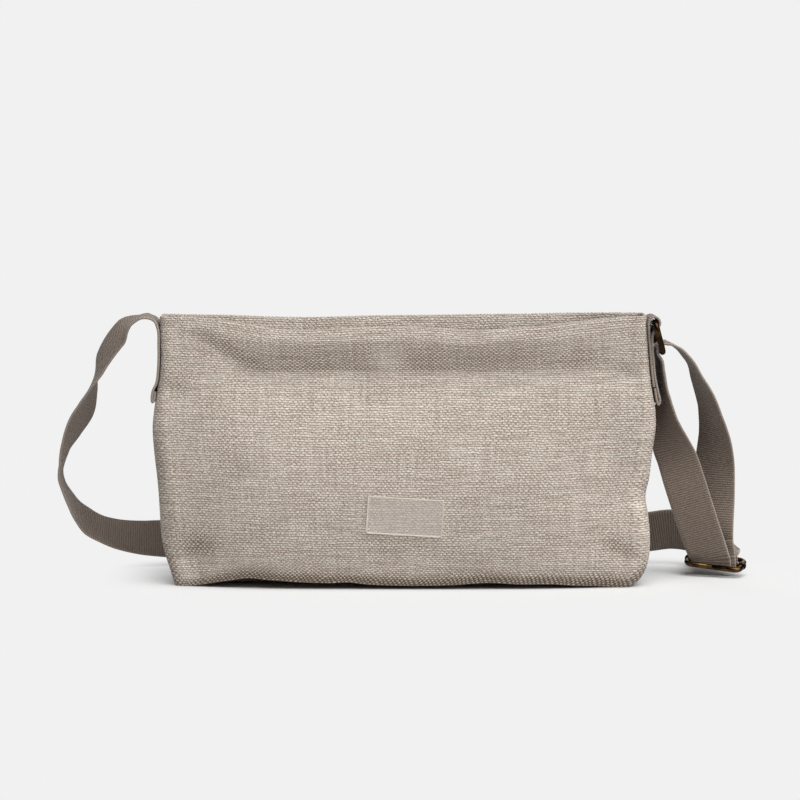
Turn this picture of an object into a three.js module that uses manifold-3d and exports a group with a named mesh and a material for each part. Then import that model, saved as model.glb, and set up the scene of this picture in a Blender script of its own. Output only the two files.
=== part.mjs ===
// A soft crossbody bag of coarse cloth, standing on its base, with a webbing strap laid round behind it.
// Millimetres, +Z up, front towards -Y. The origin is under the middle of the bag, on the surface it stands on.
import * as THREE from "three";
import { mergeVertices } from "three/addons/utils/BufferGeometryUtils.js";
import Module from "manifold-3d";

// Driving sizes
const CLOTH = 2.0; // wall of the body
const GAP = 0.3; // clearance between pieces that touch
const CENTRING = -2.1; // brings the middle of the bag and its ring over the origin
const RIM_HEIGHT = 190; // height of the mouth at the side seams
const WEBBING_WIDTH = 30;
const WEBBING = 1.8; // thickness of the webbing
const WIRE = 4.0; // wire of the ring and of the slider's frame
const SLIDER_BAR = 3.2; // middle bar of the slider
const RING_INSIDE = 32; // inside length along the bars
const SLIDER_INSIDE = 35.5;
const FITTING_CORNER = 4.5; // bend radius of the wire's corners
const RING_PITCH = 21; // between the ring's two bars
const SLIDER_PITCH = 10; // from the slider's middle bar to each outer bar
const LABEL_LENGTH = 53;
const LABEL_HEIGHT = 25.5;
const LABEL_THICK = 1.3;
const LABEL_CENTRE = { x: 0, z: 50.5 };
const LABEL_TURN = -3.4; // degrees, clockwise as seen from the front

// Body sections. left and right: half widths; side: half depth at the side seams; front and back: half depths
// at mid width, where the front draws in to a crease below the rim; corner: rounding in plan.
const BODY_SECTIONS = [
  { z: 190, left: 174.5, right: 170.6, side: 15.5, front: 16.0, back: 15.5, corner: 6 },
  { z: 182, left: 174.5, right: 171.2, side: 16.0, front: 17.5, back: 16.5, corner: 6 },
  { z: 172, left: 174.5, right: 171.8, side: 16.5, front: 19.6, back: 18.0, corner: 6 },
  { z: 164, left: 174.5, right: 172.4, side: 17.0, front: 19.4, back: 19.4, corner: 7 },
  { z: 158, left: 174.5, right: 172.9, side: 17.5, front: 17.0, back: 20.6, corner: 7 },
  { z: 153, left: 174.5, right: 173.3, side: 18.0, front: 14.0, back: 21.6, corner: 8 },
  { z: 149, left: 174.5, right: 173.7, side: 18.4, front: 13.8, back: 22.6, corner: 8 },
  { z: 144, left: 174.5, right: 174.3, side: 19.0, front: 17.0, back: 23.8, corner: 9 },
  { z: 136, left: 174.8, right: 175.5, side: 20.0, front: 22.0, back: 26.0, corner: 10 },
  { z: 125, left: 176.5, right: 177.2, side: 21.0, front: 27.0, back: 29.0, corner: 11 },
  { z: 112, left: 179.4, right: 177.6, side: 22.0, front: 31.5, back: 32.0, corner: 12 },
  { z: 95, left: 179.2, right: 175.4, side: 23.0, front: 36.0, back: 35.4, corner: 13 },
  { z: 76, left: 176.6, right: 173.2, side: 24.0, front: 39.0, back: 38.0, corner: 14 },
  { z: 64, left: 175.4, right: 170.6, side: 24.5, front: 40.0, back: 39.2, corner: 14 },
  { z: 50, left: 174.6, right: 172.2, side: 25.5, front: 40.4, back: 40.0, corner: 14 },
  { z: 36, left: 173.8, right: 173.3, side: 26.5, front: 40.2, back: 40.0, corner: 14 },
  { z: 22, left: 171.2, right: 173.0, side: 27.5, front: 39.0, back: 39.0, corner: 13 },
  { z: 12, left: 168.6, right: 170.6, side: 28.0, front: 37.0, back: 37.0, corner: 12 },
  { z: 5, left: 166.4, right: 166.6, side: 27.5, front: 34.0, back: 34.0, corner: 11 },
  { z: 0, left: 163.0, right: 161.0, side: 25.5, front: 29.0, back: 29.0, corner: 9 },
];

// How far the rims sag below the side seams, along the width
const RIM_SAG = [
  { x: -176, front: 0.0, back: -0.4 },
  { x: -140, front: 1.0, back: 0.4 },
  { x: -120, front: 3.2, back: 0.9 },
  { x: -98, front: 7.8, back: 1.9 },
  { x: -70, front: 9.1, back: 2.4 },
  { x: -40, front: 8.0, back: 1.7 },
  { x: -14, front: 7.1, back: 1.1 },
  { x: 20, front: 7.6, back: 0.8 },
  { x: 48, front: 9.4, back: 0.3 },
  { x: 82, front: 7.7, back: 0.0 },
  { x: 102, front: 6.0, back: -0.5 },
  { x: 128, front: 2.6, back: -1.0 },
  { x: 155, front: 0.2, back: -1.3 },
  { x: 174, front: -0.6, back: -1.0 },
];
const SAG_FROM = 140; // the sag fades out at this height

// How far the base's long edges lift off the surface between the corners
const EDGE_LIFT = [
  { x: -170, front: 0.0, back: 0.0 },
  { x: -150, front: 0.3, back: 0.3 },
  { x: -110, front: 4.6, back: 3.0 },
  { x: -70, front: 3.4, back: 3.4 },
  { x: 0, front: 2.6, back: 3.2 },
  { x: 55, front: 4.2, back: 3.2 },
  { x: 110, front: 1.6, back: 2.4 },
  { x: 150, front: 0.0, back: 0.2 },
  { x: 170, front: 0.0, back: 0.0 },
];
const LIFT_TO = 26; // the lift fades out at this height

// Soft dents and swells. long and high: half sizes; slope: rise per mm along x; out: push, inwards if negative.
const FRONT_FOLDS = [
  { x: -62, z: 155, long: 62, high: 9, slope: -0.02, out: -2.6 }, // deepest stretch of the left crease
  { x: 82, z: 156, long: 66, high: 10, slope: 0.05, out: -2.4 }, // deepest stretch of the right crease
  { x: -14, z: 153, long: 12, high: 15, slope: 0, out: 3.4 }, // ridge between the two
  { x: -128, z: 164, long: 34, high: 9, slope: -0.55, out: -3.2 }, // crease running up to the left corner
  { x: 134, z: 158, long: 30, high: 8, slope: 0.12, out: -2.2 }, // crease dying out to the right
  { x: 156, z: 148, long: 12, high: 7, slope: 0.1, out: -2.6 }, // pinch below the ring tab
  { x: -163, z: 136, long: 11, high: 9, slope: 0, out: -2.4 }, // pinch below the strap's sewn end
  { x: 118, z: 128, long: 40, high: 20, slope: 0, out: 1.8 }, // full shoulder on the right
  { x: -148, z: 27, long: 16, high: 15, slope: 0.3, out: -3.4 }, // dent in the left bottom corner
  { x: 150, z: 24, long: 14, high: 9, slope: -0.3, out: -2.4 }, // dent in the right bottom corner
  { x: 162, z: 66, long: 12, high: 15, slope: 0, out: -2.0 }, // drawn in at the right side
];
const BACK_FOLDS = [
  { x: -50, z: 150, long: 80, high: 14, slope: 0.03, out: -2.6 },
  { x: 90, z: 142, long: 60, high: 13, slope: -0.05, out: -2.2 },
  { x: 148, z: 30, long: 16, high: 14, slope: -0.3, out: -2.6 },
  { x: -150, z: 26, long: 15, high: 11, slope: 0.3, out: -2.2 },
];

// Rows of the panels' facets, from the rim down, and then inwards under the base as shares of its half depth
const FRONT_ROWS = [190, 185, 179, 172, 165, 159, 155, 151, 147, 142, 135, 125, 112, 95, 76, 58, 42, 28, 18, 10, 4, 0];
const BACK_ROWS = [190, 182, 172, 160, 149, 136, 122, 106, 88, 70, 52, 36, 22, 12, 5, 0];
const BASE_ROWS = [0.78, 0.5, 0.24, 0];
const SIDE_STEPS = 2; // facets from the seam to the corner
const CORNER_STEPS = 3;
const FACE_STEPS = { front: 30, back: 24 };
const SEAM_GAP = GAP / 2; // each panel stops this far from the seam

// Ring, hung in its tab on the right side, seen edge on from the front
const RING_TOP = { x: 176.3, z: 186 };
const RING_LEAN = 15; // degrees that it leans outwards

// Slider, lying behind the bag's right side
const SLIDER_AT = { x: 225.6, y: 30, z: 10.4 };
const SLIDER_TURN = { tilt: 13, roll: 7.3, yaw: -18 }; // rear edge up, left end up, right end to the front

// The strap's route, at its middle line, with the direction of its width. Chosen by hand.
const SEWN_X = -(174.5 + GAP + WEBBING / 2); // against the left side
const STRAP_START = [
  { x: SEWN_X - 0.3, y: 0, z: 141, wx: 0, wy: 1, wz: 0 }, // turned-under end
  { x: SEWN_X - 0.9, y: 0, z: 132, wx: 0, wy: 1, wz: 0 },
  { x: SEWN_X - 2.0, y: 0, z: 129.6, wx: 0, wy: 1, wz: 0 },
  { x: SEWN_X - 3.1, y: 0, z: 132, wx: 0, wy: 1, wz: 0 },
  { x: SEWN_X - 2.7, y: 0, z: 142, wx: 0, wy: 1, wz: 0 },
  { x: SEWN_X - 0.4, y: 0, z: 156, wx: 0, wy: 1, wz: 0 }, // sewn to the side
  { x: SEWN_X, y: 0, z: 172, wx: 0, wy: 1, wz: 0 },
  { x: SEWN_X - 0.6, y: 0, z: 184, wx: 0, wy: 1, wz: 0 },
  { x: -180.4, y: 0, z: 190.6, wx: 0, wy: 1, wz: 0 },
  { x: -186.4, y: 0, z: 192.5, wx: 0, wy: 1, wz: 0.03 }, // top of the arch
  { x: -194.3, y: 2.4, z: 188.4, wx: -0.12, wy: 0.95, wz: 0.22 },
  { x: -202.4, y: 6.4, z: 178.4, wx: -0.2, wy: 0.8, wz: 0.5 },
  { x: -210.6, y: 11.4, z: 165.8, wx: -0.15, wy: 0.8, wz: 0.55 },
  { x: -217.2, y: 15.8, z: 154.8, wx: -0.2, wy: 0.86, wz: 0.44 },
  { x: -221.8, y: 19.8, z: 144, wx: -0.11, wy: 0.99, wz: -0.08 }, // seen edge on
  { x: -227, y: 24.3, z: 131.3, wx: 0.1, wy: 0.96, wz: -0.2 },
  { x: -234, y: 30, z: 116.4, wx: 0.26, wy: 0.9, wz: -0.28 },
  { x: -242.2, y: 37, z: 99.7, wx: 0.14, wy: 0.95, wz: -0.2 },
  { x: -248.4, y: 43, z: 85.1, wx: -0.03, wy: 1, wz: -0.12 },
  { x: -251.4, y: 48, z: 72.1, wx: -0.05, wy: 1, wz: -0.05 }, // turning under
  { x: -249.8, y: 53, z: 60.4, wx: -0.06, wy: 0.98, wz: 0.05 },
  { x: -245.9, y: 58, z: 50.6, wx: 0, wy: 0.96, wz: 0.16 },
  { x: -240.7, y: 62.5, z: 41.4, wx: 0.02, wy: 0.9, wz: 0.33 },
  { x: -234.6, y: 66.5, z: 34.6, wx: 0.12, wy: 0.85, wz: 0.4 },
  { x: -225.5, y: 70.5, z: 28.7, wx: 0.17, wy: 0.8, wz: 0.47 },
  { x: -214.2, y: 74.5, z: 24.1, wx: 0.18, wy: 0.69, wz: 0.62 },
  { x: -197.5, y: 78.5, z: 20.9, wx: 0.05, wy: 0.55, wz: 0.77 }, // turning to stand on its edge
  { x: -181.4, y: 81.5, z: 19.9, wx: -0.03, wy: 0.42, wz: 0.87 },
  { x: -130, y: 86, z: 18, wx: 0, wy: 0.25, wz: 0.97 }, // behind the bag
  { x: -60, y: 89, z: 16.4, wx: 0, wy: 0.1, wz: 1 },
  { x: 20, y: 90, z: 16.2, wx: 0, wy: 0, wz: 1 },
  { x: 100, y: 89.5, z: 17.4, wx: 0, wy: 0, wz: 1 },
  { x: 150, y: 89.5, z: 20.6, wx: 0, wy: 0, wz: 1 },
  { x: 182, y: 89, z: 23.5, wx: 0, wy: 0, wz: 1 },
  { x: 200, y: 87.4, z: 25.2, wx: 0.08, wy: 0, wz: 1 },
  { x: 220, y: 80, z: 24.6, wx: 0.45, wy: 0.1, wz: 0.9 },
  { x: 228.6, y: 68, z: 21.6, wx: 0.8, wy: 0.05, wz: 0.6 },
  { x: 230.4, y: 56, z: 18.8, wx: 1, wy: -0.2, wz: 0.25 },
];
// Through the slider, in its own frame: across its bars (p, rearwards), square to it (n, upwards) and along its
// bars (a, to the right)
const SLIDER_THREAD = [
  { p: 13, n: 5.4, a: 0 }, // over the rear bar
  { p: 9.4, n: 4.4, a: 0 },
  { p: 6.2, n: 2.4, a: 0 },
  { p: 4.9, n: -0.6, a: 0 },
  { p: 3.5, n: -3.6, a: 0 },
  { p: 0, n: -5.0, a: -0.5 }, // under the middle bar and the loop on it
  { p: -3.5, n: -3.6, a: -1 },
  { p: -4.9, n: -0.6, a: -1.5 },
  { p: -5.2, n: 3, a: -2.4 },
  { p: -5.4, n: 7, a: -3.6 },
];
const FRONT_RUN = [
  { x: 219.6, y: 20.8, z: 22.6, wx: 1, wy: -0.2, wz: 0 },
  { x: 215.8, y: 19.4, z: 29.4, wx: 1, wy: -0.17, wz: 0.08 },
  { x: 209, y: 17.5, z: 43.6, wx: 1, wy: -0.15, wz: 0.16 },
  { x: 201.9, y: 16, z: 67.8, wx: 1, wy: -0.15, wz: 0.16 },
  { x: 195.9, y: 14.5, z: 86, wx: 0.97, wy: -0.3, wz: 0.12 },
  { x: 192, y: 13, z: 94.9, wx: 0.92, wy: -0.38, wz: 0.05 },
  { x: 188.4, y: 10, z: 106.7, wx: 0.76, wy: -0.65, wz: 0 },
  { x: 186.7, y: 7, z: 117, wx: 0.52, wy: -0.85, wz: 0 },
  { x: 185.9, y: 5, z: 124.4, wx: 0.28, wy: -0.95, wz: 0 },
  { x: 185.1, y: 4, z: 130.9, wx: 0.08, wy: -1, wz: 0 }, // past the tab's end
  { x: 182.7, y: 2.5, z: 139.6, wx: 0.03, wy: -1, wz: 0 },
  { x: 180.8, y: 1, z: 151.9, wx: 0, wy: -1, wz: 0 },
  { x: 180.2, y: 0, z: 159.6, wx: 0, wy: -1, wz: 0 },
];
// Loosely round the ring's lower bar, up on the bag's side of it and out over the top
const RING_WRAP = [
  { x: 178.2, z: 164 },
  { x: 178.3, z: 167.4 },
  { x: 180.2, z: 170.2 },
  { x: 183.2, z: 171.5 },
  { x: 187.2, z: 171.3 },
];
const BACK_RUN = [
  { x: 194.6, y: 0.5, z: 167.3, wx: 0, wy: -1, wz: 0.05 },
  { x: 199.4, y: 1, z: 162.4, wx: 0, wy: -1, wz: 0.1 },
  { x: 204.6, y: 2.5, z: 155.2, wx: 0, wy: -1, wz: 0.15 },
  { x: 209.6, y: 5, z: 144.5, wx: 0.12, wy: -0.96, wz: 0.2 },
  { x: 214.6, y: 8, z: 133.2, wx: 0.22, wy: -0.93, wz: 0.24 },
  { x: 218.4, y: 11.5, z: 122.4, wx: 0.3, wy: -0.9, wz: 0.23 },
  { x: 221.4, y: 15.5, z: 110.8, wx: 0.45, wy: -0.82, wz: 0.22 },
  { x: 223.1, y: 18.5, z: 100.6, wx: 0.62, wy: -0.71, wz: 0.15 },
  { x: 223.7, y: 22, z: 88.8, wx: 0.8, wy: -0.52, wz: 0.04 },
  { x: 223.7, y: 24.5, z: 79.1, wx: 0.93, wy: -0.33, wz: -0.1 },
  { x: 223.8, y: 26.5, z: 57.8, wx: 1, wy: -0.25, wz: -0.14 },
];
// Round the slider's middle bar and back up on itself, where it is sewn
const SLIDER_LOOP = [
  { p: 1.3, n: 27, a: -2.1 },
  { p: 1.2, n: 12, a: -2.1 },
  { p: 2.2, n: 5.4, a: -2.1 },
  { p: 2.9, n: 0.6, a: -2.1 },
  { p: 1.9, n: -2.1, a: -2.1 },
  { p: -0.9, n: -2.7, a: -2.1 },
  { p: -2.8, n: -0.6, a: -2.1 },
  { p: -2.4, n: 4, a: -2.1 },
  { p: -1.3, n: 10, a: -2.1 },
  { p: -1.2, n: 26, a: -2.1 },
];
const STRAP_STEPS = 2; // facets between two points of the route

// Tab on the right side, from its turned-under end up round the ring's upper bar and down again
const TAB_ROUTE = [
  { x: 176.05, z: 141 },
  { x: 174.65, z: 152 },
  { x: 173.7, z: 164 },
  { x: 172.9, z: 176 },
  { x: 172.6, z: 183 },
  { x: 172.9, z: 186.3 },
  { x: 173.9, z: 188.5 },
  { x: 176.3, z: 189.45 },
  { x: 178.7, z: 188.4 },
  { x: 179.7, z: 186 },
  { x: 178.8, z: 183.5 },
  { x: 176.9, z: 182 },
  { x: 175.8, z: 178.5 },
  { x: 175.4, z: 172 },
  { x: 176.3, z: 160 },
  { x: 177.4, z: 148 },
  { x: 179.1, z: 136 },
  { x: 180.0, z: 129.4 },
  { x: 178.9, z: 127.2 },
  { x: 177.9, z: 129.8 },
  { x: 176.75, z: 137.6 },
];
const TAB_STEPS = 2;

// Looks
const CLOTH_COLOUR = new THREE.MeshStandardMaterial({ color: 0xbbb0a4, roughness: 0.95, metalness: 0 });
const WEBBING_COLOUR = new THREE.MeshStandardMaterial({ color: 0x7c7067, roughness: 0.95, metalness: 0 });
const BRASS = new THREE.MeshStandardMaterial({ color: 0x6b5638, roughness: 0.35, metalness: 1 });
const RUBBER = new THREE.MeshStandardMaterial({ color: 0xb3a49c, roughness: 0.55, metalness: 0 });

const wasm = await Module();
wasm.setup();

// Smooth value of one column of a table at a place along its key column
function column(table, key, at, name) {
  const falling = table[0][key] > table[table.length - 1][key];
  const rows = falling ? [...table].reverse() : table;
  if (at <= rows[0][key]) return rows[0][name];
  const last = rows.length - 1;
  if (at >= rows[last][key]) return rows[last][name];
  let i = 0;
  while (rows[i + 1][key] < at) i += 1;
  const slope = (a, b) => (rows[b][name] - rows[a][name]) / (rows[b][key] - rows[a][key]);
  const step = rows[i + 1][key] - rows[i][key];
  const from = slope(Math.max(i - 1, 0), i + 1) * step;
  const to = slope(i, Math.min(i + 2, last)) * step;
  const t = (at - rows[i][key]) / step;
  const rise = rows[i + 1][name] - rows[i][name];
  return rows[i][name] + t * (from + t * (3 * rise - 2 * from - to + t * (from + to - 2 * rise)));
}

function section(z) {
  const at = {};
  for (const name of ["left", "right", "side", "front", "back", "corner"]) {
    at[name] = column(BODY_SECTIONS, "z", z, name);
  }
  return at;
}

// Share of the full bulge across the face, from 1 at mid width to 0 at the corners
function bulge(u) {
  return (1 - Math.abs(u) ** 5) ** 2;
}

function foldPush(folds, x, z) {
  let push = 0;
  for (const fold of folds) {
    const along = (x - fold.x) / fold.long;
    const up = (z - fold.z - fold.slope * (x - fold.x)) / fold.high;
    push += fold.out * Math.exp(-(along * along) - up * up);
  }
  return push;
}

// Lift of a base edge, never below the surface
function edgeLift(face, x) {
  return Math.max(column(EDGE_LIFT, "x", x, face), 0);
}

// Smooth step from 0 to 1
function ease(t) {
  const c = Math.min(Math.max(t, 0), 1);
  return c * c * (3 - 2 * c);
}

// Points of one panel's outline at a height, from the left seam to the right seam, inset for the inside
function outline(face, z, inset) {
  const s = section(z);
  const folds = face === "front" ? FRONT_FOLDS : BACK_FOLDS;
  const side = s.side - inset;
  const depth = s[face] - inset;
  const corner = Math.max(s.corner - inset, 2);
  const points = [];
  const half = (width, sign) => {
    const edge = width - inset;
    const out = [];
    for (let i = 0; i <= SIDE_STEPS; i += 1) {
      out.push({ x: sign * edge, y: ((side - corner) * i) / SIDE_STEPS, nx: sign, ny: 0 });
    }
    for (let i = 1; i <= CORNER_STEPS; i += 1) {
      const a = ((Math.PI / 2) * i) / CORNER_STEPS;
      out.push({
        x: sign * (edge - corner + corner * Math.cos(a)),
        y: side - corner + corner * Math.sin(a),
        nx: sign * Math.cos(a),
        ny: Math.sin(a),
      });
    }
    return out;
  };
  const left = half(s.left, -1);
  const right = half(s.right, 1);
  points.push(...left);
  const from = left[left.length - 1].x;
  const to = right[right.length - 1].x;
  const steps = FACE_STEPS[face];
  for (let i = 1; i < steps; i += 1) {
    const x = from + ((to - from) * i) / steps;
    const u = x < 0 ? x / from : x / to;
    points.push({ x, y: side + (depth - side) * bulge(u), nx: 0, ny: 1 });
  }
  points.push(...right.reverse());
  for (const p of points) {
    const push = foldPush(folds, p.x, z) * p.ny;
    p.x += p.nx * push;
    p.y += p.ny * push;
  }
  return points;
}

// One surface of a panel as rows of points, outside or inset by the cloth's thickness
function panelSurface(face, inset) {
  const heights = face === "front" ? FRONT_ROWS : BACK_ROWS;
  const toward = face === "front" ? -1 : 1;
  const rows = [];
  const place = (p, z) => new THREE.Vector3(p.x, toward * Math.max(p.y, SEAM_GAP), z);
  for (const height of heights) {
    const z = inset + (height * (RIM_HEIGHT - inset)) / RIM_HEIGHT;
    rows.push(
      outline(face, height, inset).map((p) => {
        const sag = column(RIM_SAG, "x", p.x, face) * ease((height - SAG_FROM) / (RIM_HEIGHT - SAG_FROM));
        const lift = edgeLift(face, p.x) * p.ny * ease(1 - height / LIFT_TO);
        return place(p, z - sag + lift);
      }),
    );
  }
  const edge = outline(face, 0, inset);
  const first = edge[0].x;
  const last = edge[edge.length - 1].x;
  for (const share of BASE_ROWS) {
    rows.push(
      edge.map((p, i) => {
        const seam = first + ((last - first) * i) / (edge.length - 1);
        const lift = edgeLift(face, p.x) * p.ny * ease((share - 0.5) / 0.5);
        const at = { x: seam + (p.x - seam) * share, y: p.y * share };
        return place(at, inset + lift);
      }),
    );
  }
  return rows;
}

// A closed body from two matching surfaces, joined round their edges; facets with no area are left out
function closedWall(outer, inner, flip) {
  const vertices = [];
  const put = (a, b, c) => {
    const twice = new THREE.Vector3().crossVectors(b.clone().sub(a), c.clone().sub(a)).length();
    if (twice < 1e-4) return;
    const order = flip ? [a, c, b] : [a, b, c];
    for (const v of order) vertices.push(v.x, v.y, v.z);
  };
  const quad = (a, b, c, d) => {
    put(a, b, c);
    put(a, c, d);
  };
  const rows = outer.length;
  const cols = outer[0].length;
  for (let r = 0; r + 1 < rows; r += 1) {
    for (let c = 0; c + 1 < cols; c += 1) {
      quad(outer[r][c], outer[r + 1][c], outer[r + 1][c + 1], outer[r][c + 1]);
      quad(inner[r][c], inner[r][c + 1], inner[r + 1][c + 1], inner[r + 1][c]);
    }
  }
  for (let c = 0; c + 1 < cols; c += 1) {
    quad(outer[0][c], outer[0][c + 1], inner[0][c + 1], inner[0][c]);
    quad(outer[rows - 1][c + 1], outer[rows - 1][c], inner[rows - 1][c], inner[rows - 1][c + 1]);
  }
  for (let r = 0; r + 1 < rows; r += 1) {
    quad(outer[r + 1][0], outer[r][0], inner[r][0], inner[r + 1][0]);
    quad(outer[r][cols - 1], outer[r + 1][cols - 1], inner[r + 1][cols - 1], inner[r][cols - 1]);
  }
  return geometryOf(vertices);
}

function geometryOf(vertices) {
  const geometry = new THREE.BufferGeometry();
  geometry.setAttribute("position", new THREE.Float32BufferAttribute(vertices, 3));
  const merged = mergeVertices(geometry, 1e-3);
  merged.computeVertexNormals();
  return merged;
}

// Webbing along a route: a flat section carried along a smooth line, its width turned as the route says
function webbing(route, stepsEach, width) {
  const line = new THREE.CatmullRomCurve3(route.map((p) => new THREE.Vector3(p.x, p.y, p.z)), false, "centripetal");
  const turn = new THREE.CatmullRomCurve3(
    route.map((p) => new THREE.Vector3(p.wx, p.wy, p.wz).normalize()),
    false,
    "centripetal",
  );
  const count = (route.length - 1) * stepsEach;
  const rings = [];
  for (let i = 0; i <= count; i += 1) {
    const t = i / count;
    const centre = line.getPoint(t);
    const ahead = line.getPoint(Math.min(t + 1e-4, 1));
    const along = ahead.sub(line.getPoint(Math.max(t - 1e-4, 0))).normalize();
    const across = turn.getPoint(t);
    across.addScaledVector(along, -across.dot(along)).normalize();
    const out = new THREE.Vector3().crossVectors(along, across);
    const corner = (w, n) =>
      centre
        .clone()
        .addScaledVector(across, (w * width) / 2)
        .addScaledVector(out, (n * WEBBING) / 2);
    rings.push([corner(-1, -1), corner(1, -1), corner(1, 1), corner(-1, 1)]);
  }
  const vertices = [];
  const put = (a, b, c) => {
    for (const v of [a, b, c]) vertices.push(v.x, v.y, v.z);
  };
  for (let i = 0; i < count; i += 1) {
    for (let k = 0; k < 4; k += 1) {
      const next = (k + 1) % 4;
      put(rings[i][k], rings[i][next], rings[i + 1][next]);
      put(rings[i][k], rings[i + 1][next], rings[i + 1][k]);
    }
  }
  const first = rings[0];
  const last = rings[count];
  put(first[0], first[2], first[1]);
  put(first[0], first[3], first[2]);
  put(last[0], last[1], last[2]);
  put(last[0], last[2], last[3]);
  return geometryOf(vertices);
}

// Round wire bent to a closed rectangle of the given pitch across its long bars, lying in its own XY plane
function wireFrame(insideLength, pitch, wire) {
  const halfLong = insideLength / 2 + wire / 2;
  const halfHigh = pitch / 2;
  const path = new THREE.CurvePath();
  const corners = [
    [1, 1],
    [-1, 1],
    [-1, -1],
    [1, -1],
  ];
  const bend = Math.min(FITTING_CORNER, halfHigh);
  const at = (sx, sy, dx, dy) => new THREE.Vector3(sx * (halfLong - dx), sy * (halfHigh - dy), 0);
  corners.forEach(([sx, sy], i) => {
    const [nx, ny] = corners[(i + 1) % 4];
    const leavesLong = sy === ny;
    const start = leavesLong ? at(sx, sy, 0, bend) : at(sx, sy, bend, 0);
    const end = leavesLong ? at(sx, sy, bend, 0) : at(sx, sy, 0, bend);
    path.add(new THREE.QuadraticBezierCurve3(start, at(sx, sy, 0, 0), end));
    const next = leavesLong ? at(nx, ny, bend, 0) : at(nx, ny, 0, bend);
    path.add(new THREE.LineCurve3(end, next));
  });
  const points = [];
  for (const curve of path.curves) {
    const parts = curve.isLineCurve3 ? 1 : 4;
    for (let i = 0; i < parts; i += 1) points.push(curve.getPoint(i / parts));
  }
  const sides = 10;
  const rings = points.map((p, i) => {
    const before = points[(i + points.length - 1) % points.length];
    const after = points[(i + 1) % points.length];
    const inward = new THREE.Vector3(-(after.y - before.y), after.x - before.x, 0).normalize();
    const ring = [];
    for (let k = 0; k < sides; k += 1) {
      const a = (2 * Math.PI * k) / sides;
      const v = p.clone().addScaledVector(inward, (Math.cos(a) * wire) / 2);
      v.z += (Math.sin(a) * wire) / 2;
      ring.push(v);
    }
    return ring;
  });
  const vertices = [];
  rings.forEach((ring, i) => {
    const next = rings[(i + 1) % rings.length];
    for (let k = 0; k < sides; k += 1) {
      const j = (k + 1) % sides;
      for (const v of [ring[k], ring[j], next[j], ring[k], next[j], next[k]]) vertices.push(v.x, v.y, v.z);
    }
  });
  return geometryOf(vertices);
}

function solidOf(geometry) {
  const bare = new THREE.BufferGeometry().setAttribute("position", geometry.getAttribute("position"));
  if (geometry.index) bare.setIndex(geometry.index);
  const merged = mergeVertices(bare, 1e-4);
  return new wasm.Manifold(
    new wasm.Mesh({
      numProp: 3,
      vertProperties: merged.attributes.position.array,
      triVerts: new Uint32Array(merged.index.array),
    }),
  );
}

function geometryFrom(solid) {
  const mesh = solid.getMesh();
  const geometry = new THREE.BufferGeometry();
  geometry.setAttribute("position", new THREE.Float32BufferAttribute(mesh.vertProperties, 3));
  geometry.setIndex(Array.from(mesh.triVerts));
  geometry.computeVertexNormals();
  return geometry;
}

function named(name, geometry, material) {
  const mesh = new THREE.Mesh(geometry, material);
  mesh.name = name;
  return mesh;
}

const bag = new THREE.Group();
bag.position.x = CENTRING;

// Body: the two panels meet at the side seams and along the middle of the base
bag.add(named("front_panel", closedWall(panelSurface("front", 0), panelSurface("front", CLOTH), false), CLOTH_COLOUR));
bag.add(named("back_panel", closedWall(panelSurface("back", 0), panelSurface("back", CLOTH), true), CLOTH_COLOUR));

// Depth of the front face at a place on it
function frontDepth(x, z) {
  const s = section(z);
  const reach = (x < 0 ? s.left : s.right) - s.corner;
  return s.side + (s.front - s.side) * bulge(x / reach) + foldPush(FRONT_FOLDS, x, z);
}

// Label patch, following the swell of the front
function labelSurface(stand) {
  const columns = 10;
  const rows = 5;
  const turn = THREE.MathUtils.degToRad(LABEL_TURN);
  const grid = [];
  for (let r = 0; r <= rows; r += 1) {
    const row = [];
    for (let c = 0; c <= columns; c += 1) {
      const u = (c / columns - 0.5) * LABEL_LENGTH;
      const v = (0.5 - r / rows) * LABEL_HEIGHT;
      const x = LABEL_CENTRE.x + u * Math.cos(turn) - v * Math.sin(turn);
      const z = LABEL_CENTRE.z + u * Math.sin(turn) + v * Math.cos(turn);
      row.push(new THREE.Vector3(x, -(frontDepth(x, z) + stand), z));
    }
    grid.push(row);
  }
  return grid;
}
const labelLift = GAP + 0.1;
bag.add(named("label_patch", closedWall(labelSurface(labelLift + LABEL_THICK), labelSurface(labelLift), false), RUBBER));

// Ring: its bars run front to back, and it hangs from its upper bar
const ringLean = THREE.MathUtils.degToRad(RING_LEAN);
const ring = named("strap_ring", wireFrame(RING_INSIDE, RING_PITCH, WIRE), BRASS);
const ringDown = new THREE.Vector3(Math.sin(ringLean), 0, -Math.cos(ringLean));
const ringAlong = new THREE.Vector3(0, 1, 0);
ring.quaternion.setFromRotationMatrix(
  new THREE.Matrix4().makeBasis(ringAlong, ringDown, new THREE.Vector3().crossVectors(ringAlong, ringDown)),
);
ring.position.set(RING_TOP.x, 0, RING_TOP.z).addScaledVector(ringDown, RING_PITCH / 2);
bag.add(ring);

// Tab that carries the ring
const tabRoute = TAB_ROUTE.map((p) => ({ x: p.x, y: 0, z: p.z, wx: 0, wy: 1, wz: 0 }));
bag.add(named("ring_tab", webbing(tabRoute, TAB_STEPS, WEBBING_WIDTH), WEBBING_COLOUR));

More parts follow.
